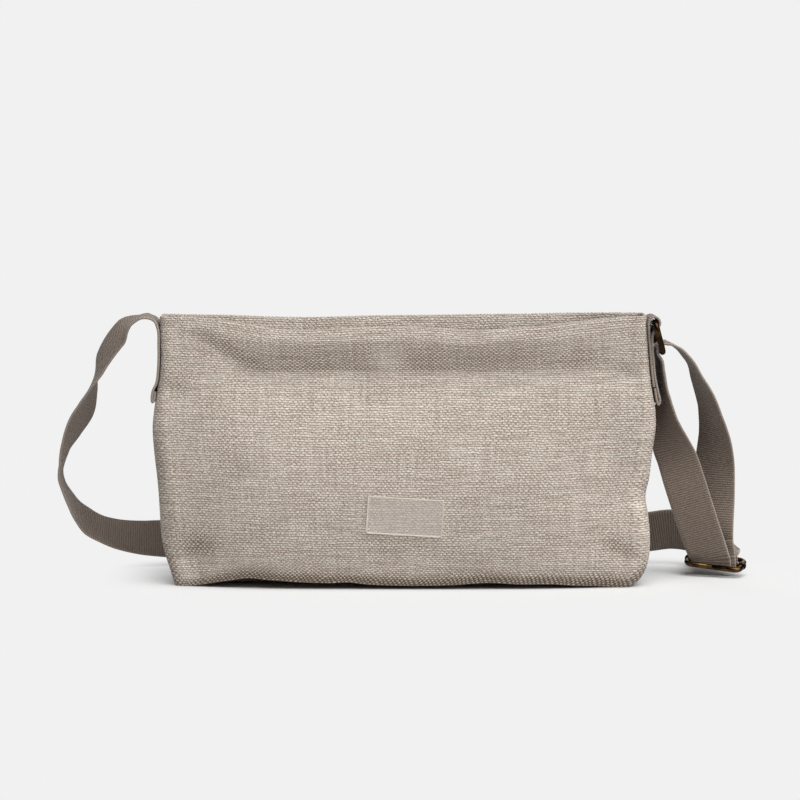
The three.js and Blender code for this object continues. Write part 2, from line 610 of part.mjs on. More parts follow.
// Slider: wire frame and middle bar in one
const sliderFrame = new THREE.Matrix4()
  .makeRotationZ(THREE.MathUtils.degToRad(SLIDER_TURN.yaw))
  .multiply(new THREE.Matrix4().makeRotationY(THREE.MathUtils.degToRad(SLIDER_TURN.roll)))
  .multiply(new THREE.Matrix4().makeRotationX(THREE.MathUtils.degToRad(SLIDER_TURN.tilt)));
sliderFrame.setPosition(SLIDER_AT.x, SLIDER_AT.y, SLIDER_AT.z);
const sliderRim = solidOf(wireFrame(SLIDER_INSIDE, 2 * SLIDER_PITCH, WIRE));
const barGeometry = new THREE.CylinderGeometry(SLIDER_BAR / 2, SLIDER_BAR / 2, SLIDER_INSIDE + WIRE, 10);
barGeometry.rotateZ(Math.PI / 2);
const slider = named("strap_slider", geometryFrom(sliderRim.add(solidOf(barGeometry))), BRASS);
slider.applyMatrix4(sliderFrame);
bag.add(slider);

// Strap: one length of webbing along its whole route
const sliderAcross = new THREE.Vector3().setFromMatrixColumn(sliderFrame, 0);
function inSlider(p) {
  const at = new THREE.Vector3(p.a, p.p, p.n).applyMatrix4(sliderFrame);
  return { x: at.x, y: at.y, z: at.z, wx: sliderAcross.x, wy: sliderAcross.y, wz: sliderAcross.z };
}
const strapRoute = [
  ...STRAP_START,
  ...SLIDER_THREAD.map(inSlider),
  ...FRONT_RUN,
  ...RING_WRAP.map((p) => ({ x: p.x, y: 0, z: p.z, wx: 0, wy: -1, wz: 0 })),
  ...BACK_RUN,
  ...SLIDER_LOOP.map(inSlider),
];
bag.add(named("shoulder_strap", webbing(strapRoute, STRAP_STEPS, WEBBING_WIDTH), WEBBING_COLOUR));

export default bag;
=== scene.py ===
"""Looks of a soft crossbody bag: coarse cloth body, ribbed webbing strap, antique brass fittings, bare patch.

The body stands open on its boxed base, and the strap lies round behind it as the bag was put down.
"""

import math
from functools import partial

import bpy
import numpy as np
from mathutils import Matrix, Vector


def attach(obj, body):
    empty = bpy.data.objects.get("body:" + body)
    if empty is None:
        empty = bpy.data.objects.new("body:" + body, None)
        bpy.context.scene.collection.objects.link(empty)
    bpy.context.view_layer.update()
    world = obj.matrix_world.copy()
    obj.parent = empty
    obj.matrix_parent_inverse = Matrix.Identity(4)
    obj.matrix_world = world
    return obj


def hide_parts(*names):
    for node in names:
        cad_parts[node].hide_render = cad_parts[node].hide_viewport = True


bl_info = {
    "name": "Crossbody bag",
    "version": (1, 0, 0),
    "blender": (4, 5, 0),
    "location": "3D View > Sidebar > Bag",
    "description": "Builds a standing cloth bag with its webbing strap and brass fittings",
    "category": "Object",
}

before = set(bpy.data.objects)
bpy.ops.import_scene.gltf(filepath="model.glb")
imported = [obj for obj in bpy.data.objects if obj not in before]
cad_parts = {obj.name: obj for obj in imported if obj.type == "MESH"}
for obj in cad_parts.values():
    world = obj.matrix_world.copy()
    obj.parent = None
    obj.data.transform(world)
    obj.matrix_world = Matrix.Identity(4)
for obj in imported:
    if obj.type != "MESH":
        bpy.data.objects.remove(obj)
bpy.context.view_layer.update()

MM = 0.001
CENTRING = -2.1 * MM  # the tables below are measured from the bag's own middle
RIM_HEIGHT = 190 * MM
SAG_FROM = 140 * MM  # the rims' sag fades out at this height
LIFT_TO = 26 * MM  # the base edges' lift fades out at this height
BASE_FLAT = 0.1  # share of the base, from its seam, that stays on the floor
BASE_RISE = 0.4  # share of the base over which it then lifts to its edges
SEAM_GAP = 0.12 * MM  # each panel stops this far from the seam
SEAM_GROOVE = 0.9 * MM  # the seam draws the side in by this much
SEAM_SHARES = (1.0, 0.5, 0.18)  # shares of that at the seam and on the columns next to it
RIM_SCALLOP = 0.25 * MM  # the yarns stand up from the rim by this much

# Body sections in mm. left and right: half widths; side: half depth at the side seams; front and back: half
# depths at mid width, where the front draws in to a crease below the rim; corner: rounding in plan
SECTION_COLUMNS = ("z", "left", "right", "side", "front", "back", "corner")
BODY_SECTIONS = (
    (190, 173.3, 170.6, 15.5, 17.4, 22.0, 6),
    (182, 173.1, 170.9, 16.0, 19.1, 18.8, 6),
    (176, 172.9, 171.3, 16.3, 18.8, 18.2, 6),
    (170, 172.8, 171.8, 16.6, 18.2, 18.6, 6),
    (164, 172.7, 172.4, 17.0, 17.5, 19.4, 7),
    (158, 172.8, 172.9, 17.5, 16.9, 20.6, 7),
    (153, 173.2, 173.3, 18.0, 16.4, 21.6, 8),
    (149, 173.6, 173.7, 18.4, 16.8, 22.6, 8),
    (144, 174.4, 174.3, 19.0, 18.0, 23.8, 9),
    (136, 175.9, 175.5, 20.0, 20.7, 26.0, 10),
    (125, 177.5, 177.2, 21.0, 25.4, 29.0, 11),
    (112, 178.8, 177.6, 22.0, 30.2, 32.0, 12),
    (95, 177.8, 175.4, 23.0, 35.2, 35.4, 13),
    (76, 175.8, 173.2, 24.0, 38.8, 38.0, 14),
    (64, 174.8, 170.6, 24.5, 40.0, 39.2, 14),
    (50, 174.0, 172.2, 25.5, 40.4, 40.0, 14),
    (36, 173.1, 173.3, 26.5, 40.2, 40.0, 14),
    (22, 170.2, 173.0, 27.5, 39.5, 39.0, 13),
    (12, 166.8, 170.6, 28.0, 39.0, 37.0, 12),
    (5, 164.6, 166.6, 27.5, 38.1, 34.0, 11),
    (0, 163.2, 161.0, 25.5, 36.0, 29.0, 9),
)

# How far the rims sag below the side seams along the width, in mm
EDGE_COLUMNS = ("x", "front", "back")
RIM_SAG = (
    (-176, 0.0, -0.4),
    (-140, 1.0, 0.4),
    (-120, 3.2, 0.9),
    (-98, 7.8, 1.9),
    (-70, 9.1, 2.4),
    (-40, 8.0, 1.7),
    (-14, 7.1, 1.1),
    (20, 7.6, 0.8),
    (48, 9.4, 0.3),
    (82, 7.7, 0.0),
    (102, 6.0, -0.5),
    (128, 2.6, -1.0),
    (155, 0.2, -1.3),
    (174, -0.6, -1.0),
)

# How far the base's long edges lift off the floor between the corners, in mm and in the same columns
EDGE_LIFT = (
    (-170, 0.0, 0.0),
    (-150, 0.6, 0.3),
    (-138, 2.6, 1.1),
    (-125, 5.0, 2.2),
    (-110, 7.4, 3.0),
    (-96, 6.4, 3.2),
    (-75, 5.0, 3.4),
    (-53, 4.5, 3.4),
    (-39, 4.9, 3.3),
    (-25, 3.4, 3.3),
    (4, 2.6, 3.2),
    (32, 3.0, 3.2),
    (58, 4.6, 3.2),
    (80, 3.5, 2.9),
    (103, 3.2, 2.5),
    (120, 1.9, 1.9),
    (134, 1.2, 1.0),
    (150, 0.2, 0.2),
    (170, 0.0, 0.0),
)

# Soft dents and swells in mm. long and high: half sizes; slope: rise per mm along x; out: how far it pushes
# out, or in if negative
FOLD_COLUMNS = ("x", "z", "long", "high", "slope", "out")
FOLDS = {
    "front": (
        (-62, 152.5, 62, 10, -0.02, -0.3),  # deepest stretch of the left crease
        (82, 154, 66, 10, 0.05, -0.3),  # deepest stretch of the right crease
        (-14, 151, 12, 15, 0, 2.0),  # ridge between the two
        (-128, 164, 34, 10, -0.55, -1.5),  # crease running up to the left corner
        (134, 154, 30, 9, 0.12, -1.2),  # crease dying out to the right
        (156, 148, 12, 7, 0.1, -2.6),  # pinch below the ring tab
        (-163, 136, 11, 9, 0, -2.4),  # pinch below the strap's sewn end
        (118, 128, 40, 20, 0, 1.8),  # full shoulder on the right
        (-148, 20, 16, 13, 0.3, -2.6),  # dent in the left bottom corner
        (150, 24, 14, 9, -0.3, -1.6),  # dent in the right bottom corner
        (-168, 12, 34, 34, 0, -5.5),  # lower left turned away
        (164, 42, 32, 32, 0, 3.4),  # fuller lower right
        (162, 66, 12, 15, 0, -1.2),  # drawn in at the right side
    ),
    "back": (
        (-50, 150, 80, 14, 0.03, -2.6),
        (90, 142, 60, 13, -0.05, -2.2),
        (148, 30, 16, 14, -0.3, -2.6),
        (-150, 26, 15, 11, 0.3, -2.2),
    ),
}

# The strap's route at its middle line, and the direction of its width: x, y, z in metres, then the direction
STRAP_START = (
    (-0.1766, 0.0000, 0.1375, 0.00, 1.00, 0.00),  # turned-under end
    (-0.1771, 0.0000, 0.1335, 0.00, 1.00, 0.00),
    (-0.1776, 0.0000, 0.1310, 0.00, 1.00, 0.00),
    (-0.1785, 0.0000, 0.1302, 0.00, 1.00, 0.00),
    (-0.1789, 0.0000, 0.1325, 0.00, 1.00, 0.00),
    (-0.1781, 0.0000, 0.1380, 0.00, 1.00, 0.00),
    (-0.1755, 0.0000, 0.1440, 0.00, 1.00, 0.00),
    (-0.1740, 0.0000, 0.1570, 0.00, 1.00, 0.00),  # sewn to the side
    (-0.1738, 0.0000, 0.1700, 0.00, 1.00, 0.00),
    (-0.1742, 0.0000, 0.1815, 0.00, 1.00, 0.00),
    (-0.1773, 0.0000, 0.1880, 0.00, 1.00, 0.00),
    (-0.1836, 0.0000, 0.1900, 0.00, 1.00, 0.02),  # top of the arch
    (-0.1920, 0.0022, 0.1868, -0.04, 0.99, 0.08),
    (-0.2022, 0.0062, 0.1782, -0.20, 0.82, 0.50),
    (-0.2119, 0.0114, 0.1664, -0.17, 0.80, 0.55),
    (-0.2186, 0.0158, 0.1552, -0.20, 0.87, 0.42),
    (-0.2233, 0.0198, 0.1440, -0.11, 0.99, -0.08),  # seen edge on
    (-0.2280, 0.0243, 0.1313, 0.10, 0.96, -0.20),
    (-0.2340, 0.0300, 0.1164, 0.26, 0.90, -0.28),
    (-0.2422, 0.0370, 0.0997, 0.14, 0.95, -0.20),
    (-0.2484, 0.0430, 0.0851, -0.03, 1.00, -0.12),
    (-0.2514, 0.0480, 0.0721, -0.05, 1.00, -0.05),  # turning under
    (-0.2498, 0.0530, 0.0604, -0.06, 0.98, 0.05),
    (-0.2459, 0.0580, 0.0506, 0.00, 0.96, 0.16),
    (-0.2407, 0.0625, 0.0414, 0.02, 0.90, 0.33),
    (-0.2346, 0.0665, 0.0346, 0.12, 0.85, 0.40),
    (-0.2255, 0.0705, 0.0287, 0.17, 0.86, 0.41),
    (-0.2142, 0.0745, 0.0242, 0.15, 0.78, 0.54),
    (-0.1975, 0.0785, 0.0210, 0.05, 0.65, 0.71),  # turning to stand on its edge
    (-0.1814, 0.0815, 0.0199, -0.03, 0.50, 0.82),
    (-0.1300, 0.0860, 0.0180, 0.00, 0.25, 0.97),  # behind the bag
    (-0.0600, 0.0890, 0.0164, 0.00, 0.10, 1.00),
    (0.0200, 0.0900, 0.0162, 0.00, 0.00, 1.00),
    (0.1000, 0.0895, 0.0174, 0.00, -0.10, 0.99),
    (0.1500, 0.0895, 0.0206, 0.00, -0.08, 1.00),
    (0.1820, 0.0890, 0.0240, 0.00, -0.06, 1.00),
    (0.1990, 0.0872, 0.0262, 0.06, -0.06, 0.99),
    (0.2145, 0.0815, 0.0250, 0.34, 0.05, 0.93),
    (0.2232, 0.0712, 0.0200, 0.75, 0.08, 0.62),
    (0.2262, 0.0580, 0.0178, 1.00, -0.12, 0.24),
)
# Through the slider, in its own frame and in mm: across its bars, square to it and along its bars
SLIDER_THREAD = (
    (13.0, 5.4, 0.0),  # over the rear bar
    (9.4, 4.4, -0.4),
    (6.2, 2.4, -1.0),
    (4.9, -0.6, -1.6),
    (3.5, -3.5, -2.0),
    (0.0, -4.8, -2.3),  # under the middle bar and the loop on it
    (-3.5, -3.5, -2.1),
    (-4.9, -0.6, -2.2),
    (-5.2, 3.0, -2.6),
    (-5.4, 7.0, -4.0),
)
FRONT_RUN = (
    (0.2176, 0.0236, 0.0224, 1.00, -0.30, 0.20),
    (0.2150, 0.0221, 0.0296, 1.00, -0.26, 0.20),
    (0.2100, 0.0195, 0.0436, 1.00, -0.20, 0.18),
    (0.2019, 0.0160, 0.0678, 1.00, -0.15, 0.16),
    (0.1959, 0.0145, 0.0860, 0.97, -0.30, 0.12),
    (0.1920, 0.0130, 0.0949, 0.92, -0.38, 0.05),
    (0.1884, 0.0100, 0.1067, 0.76, -0.65, 0.00),
    (0.1867, 0.0070, 0.1170, 0.52, -0.85, 0.00),
    (0.1860, 0.0050, 0.1244, 0.34, -0.94, 0.00),
    (0.1853, 0.0040, 0.1309, 0.20, -0.98, 0.00),  # past the tab's end
    (0.1832, 0.0025, 0.1396, 0.15, -0.99, 0.00),
    (0.1814, 0.0010, 0.1519, 0.12, -0.99, 0.00),
    (0.1806, 0.0000, 0.1596, 0.07, -1.00, 0.00),
)
# Loosely round the ring's lower bar, up on the bag's side of it and out over the top
RING_WRAP = (
    (0.1784, 0.0000, 0.1640, 0.02, -1.00, 0.00),
    (0.1783, 0.0000, 0.1674, 0.00, -1.00, 0.00),
    (0.1802, 0.0000, 0.1702, 0.00, -1.00, 0.00),
    (0.1832, 0.0000, 0.1715, 0.00, -1.00, 0.00),
    (0.1872, 0.0000, 0.1713, 0.00, -1.00, 0.00),
)
BACK_RUN = (
    (0.1946, 0.0005, 0.1673, 0.00, -1.00, 0.05),
    (0.1994, 0.0010, 0.1624, 0.00, -1.00, 0.10),
    (0.2046, 0.0025, 0.1552, 0.00, -1.00, 0.15),
    (0.2096, 0.0050, 0.1445, 0.12, -0.96, 0.20),
    (0.2146, 0.0080, 0.1332, 0.22, -0.93, 0.24),
    (0.2184, 0.0115, 0.1224, 0.30, -0.90, 0.23),
    (0.2214, 0.0155, 0.1108, 0.45, -0.82, 0.22),
    (0.2231, 0.0185, 0.1006, 0.62, -0.71, 0.15),
    (0.2237, 0.0220, 0.0888, 0.80, -0.52, 0.04),
    (0.2237, 0.0245, 0.0791, 0.93, -0.33, -0.10),
    (0.2238, 0.0265, 0.0578, 1.00, -0.25, -0.14),
)
# Round the slider's middle bar and back up on itself, where it is sewn
SLIDER_LOOP = (
    (1.3, 27.0, -3.4),
    (1.2, 13.0, -2.2),
    (2.2, 5.4, 0.2),
    (2.9, 0.6, 0.9),
    (1.9, -2.1, 0.9),
    (-0.9, -2.7, 0.9),
    (-2.8, -0.6, 0.9),
    (-2.4, 4.0, 0.4),
    (-1.4, 9.0, -0.8),
    (-1.2, 16.0, -2.4),
)
# Tab on the right side: x and z in metres, from its inner end up round the ring's upper bar and down again
TAB_ROUTE = (
    (0.17580, 0.1410),
    (0.17440, 0.1520),
    (0.17335, 0.1640),
    (0.17230, 0.1760),
    (0.17180, 0.1835),
    (0.17190, 0.1873),
    (0.17300, 0.1897),
    (0.17560, 0.1906),
    (0.17840, 0.1893),
    (0.17970, 0.1865),
    (0.17900, 0.1838),
    (0.17690, 0.1820),
    (0.17490, 0.1785),
    (0.17445, 0.1720),
    (0.17530, 0.1600),
    (0.17650, 0.1480),
    (0.17880, 0.1372),
    (0.18010, 0.1308),
    (0.17920, 0.1286),
    (0.17810, 0.1310),
    (0.17640, 0.1402),
)

RING_TOP = Vector((176.3 * MM, 0, 186 * MM))
RING_LEAN = math.radians(15)  # outwards
SLIDER_AT = Vector((225.6 * MM, 30 * MM, 9.8 * MM))
SLIDER_TILT = math.radians(13)  # rear edge up
SLIDER_ROLL = math.radians(5.2)  # left end up
SLIDER_YAW = math.radians(-18)  # right end to the front
COLLAR_STAND = 0.35 * MM  # from the slider's wire to the middle of the collar crimped on it
COLLAR_WALL = 0.75 * MM  # half of a collar's thickness
COLLAR_STRETCH = 2.4  # a collar is so many times as long as it is thick

SHADE_BEHIND_FROM = 42 * MM  # how far back the webbing starts to take painted shade, for the bag's shade on the stretch behind it
SHADE_BEHIND_TO = 66 * MM

PATCH_CORNER = 2.0 * MM
PATCH_RIM_RISE = 0.3 * MM
PATCH_RIM_WIDTH = 0.9 * MM  # the rim's paler tint, for its thicker rubber and painted light caught in its frosted edge, reaches so far in
PATCH_SOFT_EDGE = 0.12 * MM
PATCH_GAP = 0.4 * MM  # from the cloth to the patch
# Steps in from the patch's edge, over its rim: inset and rise
PATCH_RIM = (
    (0.3 * MM, PATCH_RIM_RISE),
    (0.45 * MM, 0),
    (0.3 * MM, -PATCH_RIM_RISE),
    (0.5 * MM, 0),
)

# Oblong of floor in the bag's own shade: its middle and half sizes
SHADED_MIDDLE = (0.055, 0.015, 0)
SHADED_HALF = (0.195, 0.04, 0)
SHADED_FADE = 0.085  # the shade fades out over this distance
FLOOR_SIZE = 60  # in metres, past the picture's edges

# Soft lights: name, height and turn in degrees (from the front, to the right), share of full strength
STUDIO_LIGHTS = (
    ("Key light", 63, 34, 1.27),
    ("Side light", 35, 50, 0.40),
    ("Back light", 14, 180, 0.40),
)
SOFTNESS = math.radians(60)

CAMERA_SENSOR = 36  # in mm, as is the lens
CAMERA_LENS = 119.9
CAMERA_NEAR = 0.05
CAMERA_AT = (CENTRING, -1.8896, 0.2936)
CAMERA_TURN = (math.radians(85.069), 0, math.radians(0.107))

# Fineness of the body's mesh
SIDE_STEPS = 14  # columns from the seam to the corner
CORNER_STEPS = 16
FACE_STEPS = 400
RIM_STEPS = 3  # rows over the folded rim
INNER_EVERY = 3  # the inside has one row for so many outside
BASE_ROWS = 18  # rows from the base's edge to its seam, or a few more so that both sides end together
LEAST_CORNER = 2 * MM  # rounding that the inside's corners keep

# Fineness of the webbing's mesh
ROUTE_STEPS = 60  # between two rows of a route
LEAST_GAP = 1e-6  # rows closer than this count as one
STATIONS_PER_RIB = 5
# Shares of the webbing's half width: its columns, and where its edge starts to round off and to be scalloped
ACROSS = (-1.0, -0.985, -0.95, -0.8, -0.4, 0.0, 0.4, 0.8, 0.95, 0.985, 1.0)
ROUND_FROM = 0.94
SCALLOP_FROM = 0.97
SCALLOP = 0.09 * MM
LEAST_EDGE = 0.02  # square of the thinnest share of the thickness, at the very edge


def linear(code):
    """Linear RGB of an sRGB hex colour."""
    parts = [int(code[i : i + 2], 16) / 255 for i in (1, 3, 5)]
    return tuple(c / 12.92 if c <= 0.04045 else ((c + 0.055) / 1.055) ** 2.4 for c in parts)


def length(label, words, default):
    """A length property in metres."""
    return bpy.props.FloatProperty(
        name=label, description=words, default=default, min=0, precision=5, unit="LENGTH"
    )


def colour(label, words, code):
    """A colour property with its default as an sRGB hex value."""
    return bpy.props.FloatVectorProperty(
        name=label, description=words, default=linear(code), size=3, min=0, max=1, subtype="COLOR"
    )


class ClothSettings(bpy.types.PropertyGroup):
    """Cloth of the body"""

    wall: length("Wall", "Thickness of the doubled cloth", 2.0 * MM)
    warp_pitch: length("Warp pitch", "From one upright yarn to the next", 1.70 * MM)
    weft_pitch: length("Weft pitch", "From one level yarn to the next", 1.65 * MM)
    crown: length("Yarn crown", "How far a yarn stands out where it crosses over", 0.10 * MM)
    light_yarn: colour("Light yarn", "Crowns of the lightest yarns", "#d3cac0")
    dark_yarn: colour("Dark yarn", "Crowns of the darkest yarns", "#a79d92")
    gap: colour("Gap", "Shade between the yarns", "#66503a")


class WebbingSettings(bpy.types.PropertyGroup):
    """Webbing of the strap and the tab"""

    width: length("Width", "Width of the webbing", 30 * MM)
    thickness: length("Thickness", "Thickness at the ribs", 1.8 * MM)
    rib_pitch: length("Rib pitch", "From one cross rib to the next", 1.7 * MM)
    groove: length("Groove", "Depth of the groove between two ribs", 0.14 * MM)
    crown: colour("Rib", "Crown of a rib", "#8d8075")
    groove_colour: colour("Groove", "Shade between the ribs", "#5d5047")
    selvedge: colour("Selvedge", "Woven edge", "#958a80")
    # Painted shade: how dark the stretch behind the bag is painted, for the bag's shade on it
    painted_shade_behind: bpy.props.FloatProperty(
        name="Painted shade behind the bag", description="Tone of the stretch behind the bag", default=0.63, subtype="FACTOR"
    )


class FittingSettings(bpy.types.PropertyGroup):
    """Brass ring and slider"""

    ring_wire: length("Ring wire", "Wire of the ring", 4.3 * MM)
    slider_wire: length("Slider wire", "Wire of the slider's frame", 3.9 * MM)
    middle_bar: length("Middle bar", "Wire of the slider's middle bar", 3.2 * MM)
    bend: length("Bend", "Bend of the wire at the corners", 4.5 * MM)
    ring_inside: length("Ring inside", "Inside length of the ring along its bars", 32 * MM)
    ring_pitch: length("Ring pitch", "From the ring's upper bar to its lower one", 21 * MM)
    slider_inside: length("Slider inside", "Inside length of the slider along its bars", 35.5 * MM)
    butt_gap: length("Butt gap", "Gap where the ends of the slider's wire meet", 0.5 * MM)
    slider_pitch: length("Slider pitch", "From the middle bar to each outer bar", 10 * MM)
    rubbed: colour("Rubbed brass", "Brass where the dark finish is rubbed thin", "#6b5230")
    dark: colour("Dark brass", "Brass under its dark finish", "#2e2115")


class PatchSettings(bpy.types.PropertyGroup):
    """Bare patch on the front"""

    long: length("Length", "Length of the patch", 53.6 * MM)
    high: length("Height", "Height of the patch", 26.6 * MM)
    thickness: length("Thickness", "Thickness of the patch", 1.3 * MM)
    above_floor: length("Height above floor", "Middle of the patch above the floor", 52.2 * MM)
    turn: bpy.props.FloatProperty(
        name="Turn", description="Turn as seen from the front", default=math.radians(-3.4), subtype="ANGLE"
    )
    tint: colour("Tint", "Frosted rubber over the cloth", "#dcd1c9")
    rim: colour("Rim", "Moulded rim of the patch", "#e6ddd4")


class StageSettings(bpy.types.PropertyGroup):
    """Floor and light"""

    backdrop: colour("Backdrop", "Pale studio backdrop", "#f1f1f1")
    floor: colour("Floor", "Pale floor", "#cacaca")
    ambient: bpy.props.FloatProperty(
        name="Ambient", description="Strength of the light all round", default=0.03
    )
    key: bpy.props.FloatProperty(name="Light", description="Strength of the soft lights", default=1.0)


def columns(names, rows, unit=MM):
    """A table's rows as one array for each named column."""
    return {name: np.array(values, float) * unit for name, values in zip(names, zip(*rows))}


def cubic(start, rise, leave, arrive, t):
    """A cubic from start that climbs by rise while t goes from 0 to 1, with its slopes at both ends."""
    return start + t * (leave + t * (3 * rise - 2 * leave - arrive + t * (leave + arrive - 2 * rise)))


def smooth_column(table, key, name, at):
    """Smooth value of one column of a table at places along its key column."""
    order = np.argsort(table[key])
    x, y = table[key][order], table[name][order]
    slope = np.empty_like(y)
    slope[1:-1] = (y[2:] - y[:-2]) / (x[2:] - x[:-2])
    slope[0] = (y[1] - y[0]) / (x[1] - x[0])
    slope[-1] = (y[-1] - y[-2]) / (x[-1] - x[-2])
    at = np.clip(at, x[0], x[-1])
    i = np.clip(np.searchsorted(x, at, side="right") - 1, 0, len(x) - 2)
    step = x[i + 1] - x[i]
    return cubic(y[i], y[i + 1] - y[i], slope[i] * step, slope[i + 1] * step, (at - x[i]) / step)


SECTIONS = columns(SECTION_COLUMNS, BODY_SECTIONS)
SAG = columns(EDGE_COLUMNS, RIM_SAG)
LIFT = columns(EDGE_COLUMNS, EDGE_LIFT)


def ease(t):
    """Smooth step from 0 to 1."""
    c = np.clip(t, 0, 1)
    return c * c * (3 - 2 * c)


def bulge(u):
    """Share of the full bulge across a face, from 1 at mid width to 0 at the corners."""
    return (1 - np.clip(np.abs(u), 0, 1) ** 5) ** 2


def fold_push(face, x, z):
    """How far the folds push a face out at places on it."""
    push = np.zeros(np.broadcast(x, z).shape)
    for fold in FOLDS[face]:
        f = dict(zip(FOLD_COLUMNS, fold))
        along = (x - f["x"] * MM) / (f["long"] * MM)
        up = (z - f["z"] * MM - f["slope"] * (x - f["x"] * MM)) / (f["high"] * MM)
        push += f["out"] * MM * np.exp(-(along**2) - up**2)
    return push


def outline(face, z, inset):
    """A panel's plan at heights z, one row each, from seam to seam: x, depth, and outward x and y."""
    at = {name: smooth_column(SECTIONS, "z", name, z)[:, None] for name in SECTION_COLUMNS[1:]}
    side = at["side"] - inset
    depth = at[face] - inset
    corner = np.maximum(at["corner"] - inset, LEAST_CORNER)
    rise = np.linspace(0, 1, SIDE_STEPS + 1)[None, :]
    turn = (np.pi / 2 * np.arange(1, CORNER_STEPS + 1) / CORNER_STEPS)[None, :]
    halves = {}
    for name, sign in (("left", -1), ("right", 1)):
        edge = at[name] - inset
        flat = np.ones_like(edge) * np.ones_like(rise)
        x = np.hstack([sign * edge * flat, sign * (edge - corner + corner * np.cos(turn))])
        y = np.hstack([(side - corner) * rise, side - corner + corner * np.sin(turn)])
        nx = np.hstack([sign * flat, sign * np.cos(turn) * np.ones_like(edge)])
        ny = np.hstack([0 * flat, np.sin(turn) * np.ones_like(edge)])
        halves[name] = [x, y, nx, ny]
    start, stop = halves["left"][0][:, -1:], halves["right"][0][:, -1:]
    share = (np.arange(1, FACE_STEPS) / FACE_STEPS)[None, :]
    x = start + (stop - start) * share
    u = np.where(x < 0, x / start, x / stop)
    middle = [x, side + (depth - side) * bulge(u), np.zeros_like(x), np.ones_like(x)]
    stretches = zip(halves["left"], middle, halves["right"])
    x, y, nx, ny = (np.hstack([left, mid, right[:, ::-1]]) for left, mid, right in stretches)
    push = fold_push(face, x, z[:, None]) * ny
    return x + nx * push, y + ny * push, nx, ny


def panel_rows(face, inset, heights, shares):
    """One surface of a panel: rows of points from the rim down to the base's seam, and outward directions."""
    toward = -1 if face == "front" else 1
    x, y, nx, ny = outline(face, heights, inset)
    high = heights[:, None]
    sag = smooth_column(SAG, "x", face, x) * ease((high - SAG_FROM) / (RIM_HEIGHT - SAG_FROM))
    lift = np.maximum(smooth_column(LIFT, "x", face, x), 0) * ny * ease(1 - high / LIFT_TO)
    z = inset + high * (RIM_HEIGHT - inset) / RIM_HEIGHT - sag + lift
    wall = np.stack([x, toward * np.maximum(y, SEAM_GAP), z], axis=2)
    out = np.stack([nx, toward * ny, np.zeros_like(nx)], axis=2)
    edge_x, edge_y, _, edge_ny = outline(face, np.zeros(1), inset)
    seam = np.linspace(edge_x[0, 0], edge_x[0, -1], edge_x.shape[1])[None, :]
    share = shares[:, None]
    base_x = seam + (edge_x - seam) * share
    base_y = toward * np.maximum(edge_y * share, SEAM_GAP)
    lift = np.maximum(smooth_column(LIFT, "x", face, edge_x), 0) * edge_ny
    lift = lift * ease((share - BASE_FLAT) / BASE_RISE)
    base = np.stack([base_x, base_y, inset + lift + 0 * base_x], axis=2)
    down = np.zeros_like(base)
    down[:, :, 2] = -1
    points = np.concatenate([wall, base])
    points[:, :, 0] += CENTRING
    return points, np.concatenate([out, down])


def mesh_piece(name, points, faces, uv, layer):
    """A new object from points and faces, smooth, with a UV map in metres of cloth."""
    mesh = bpy.data.meshes.new(name)
    mesh.from_pydata(points.tolist(), [], faces)
    mesh.uv_layers.new(name=layer)
    corners = np.empty(len(mesh.loops), dtype=np.int32)
    mesh.loops.foreach_get("vertex_index", corners)
    mesh.uv_layers[layer].data.foreach_set("uv", uv[corners].astype(np.float32).ravel())
    mesh.polygons.foreach_set("use_smooth", [True] * len(mesh.polygons))
    mesh.validate()
    piece = bpy.data.objects.new(name, mesh)
    bpy.context.scene.collection.objects.link(piece)
    return piece


def grid_faces(rows, count, flip):
    """Faces of a grid of vertices, row by row; flip turns them over."""
    faces = []
    for r in range(rows - 1):
        for c in range(count - 1):
            a = r * count + c
            quad = (a, a + count, a + count + 1, a + 1)
            faces.append(quad[::-1] if flip else quad)
    return faces


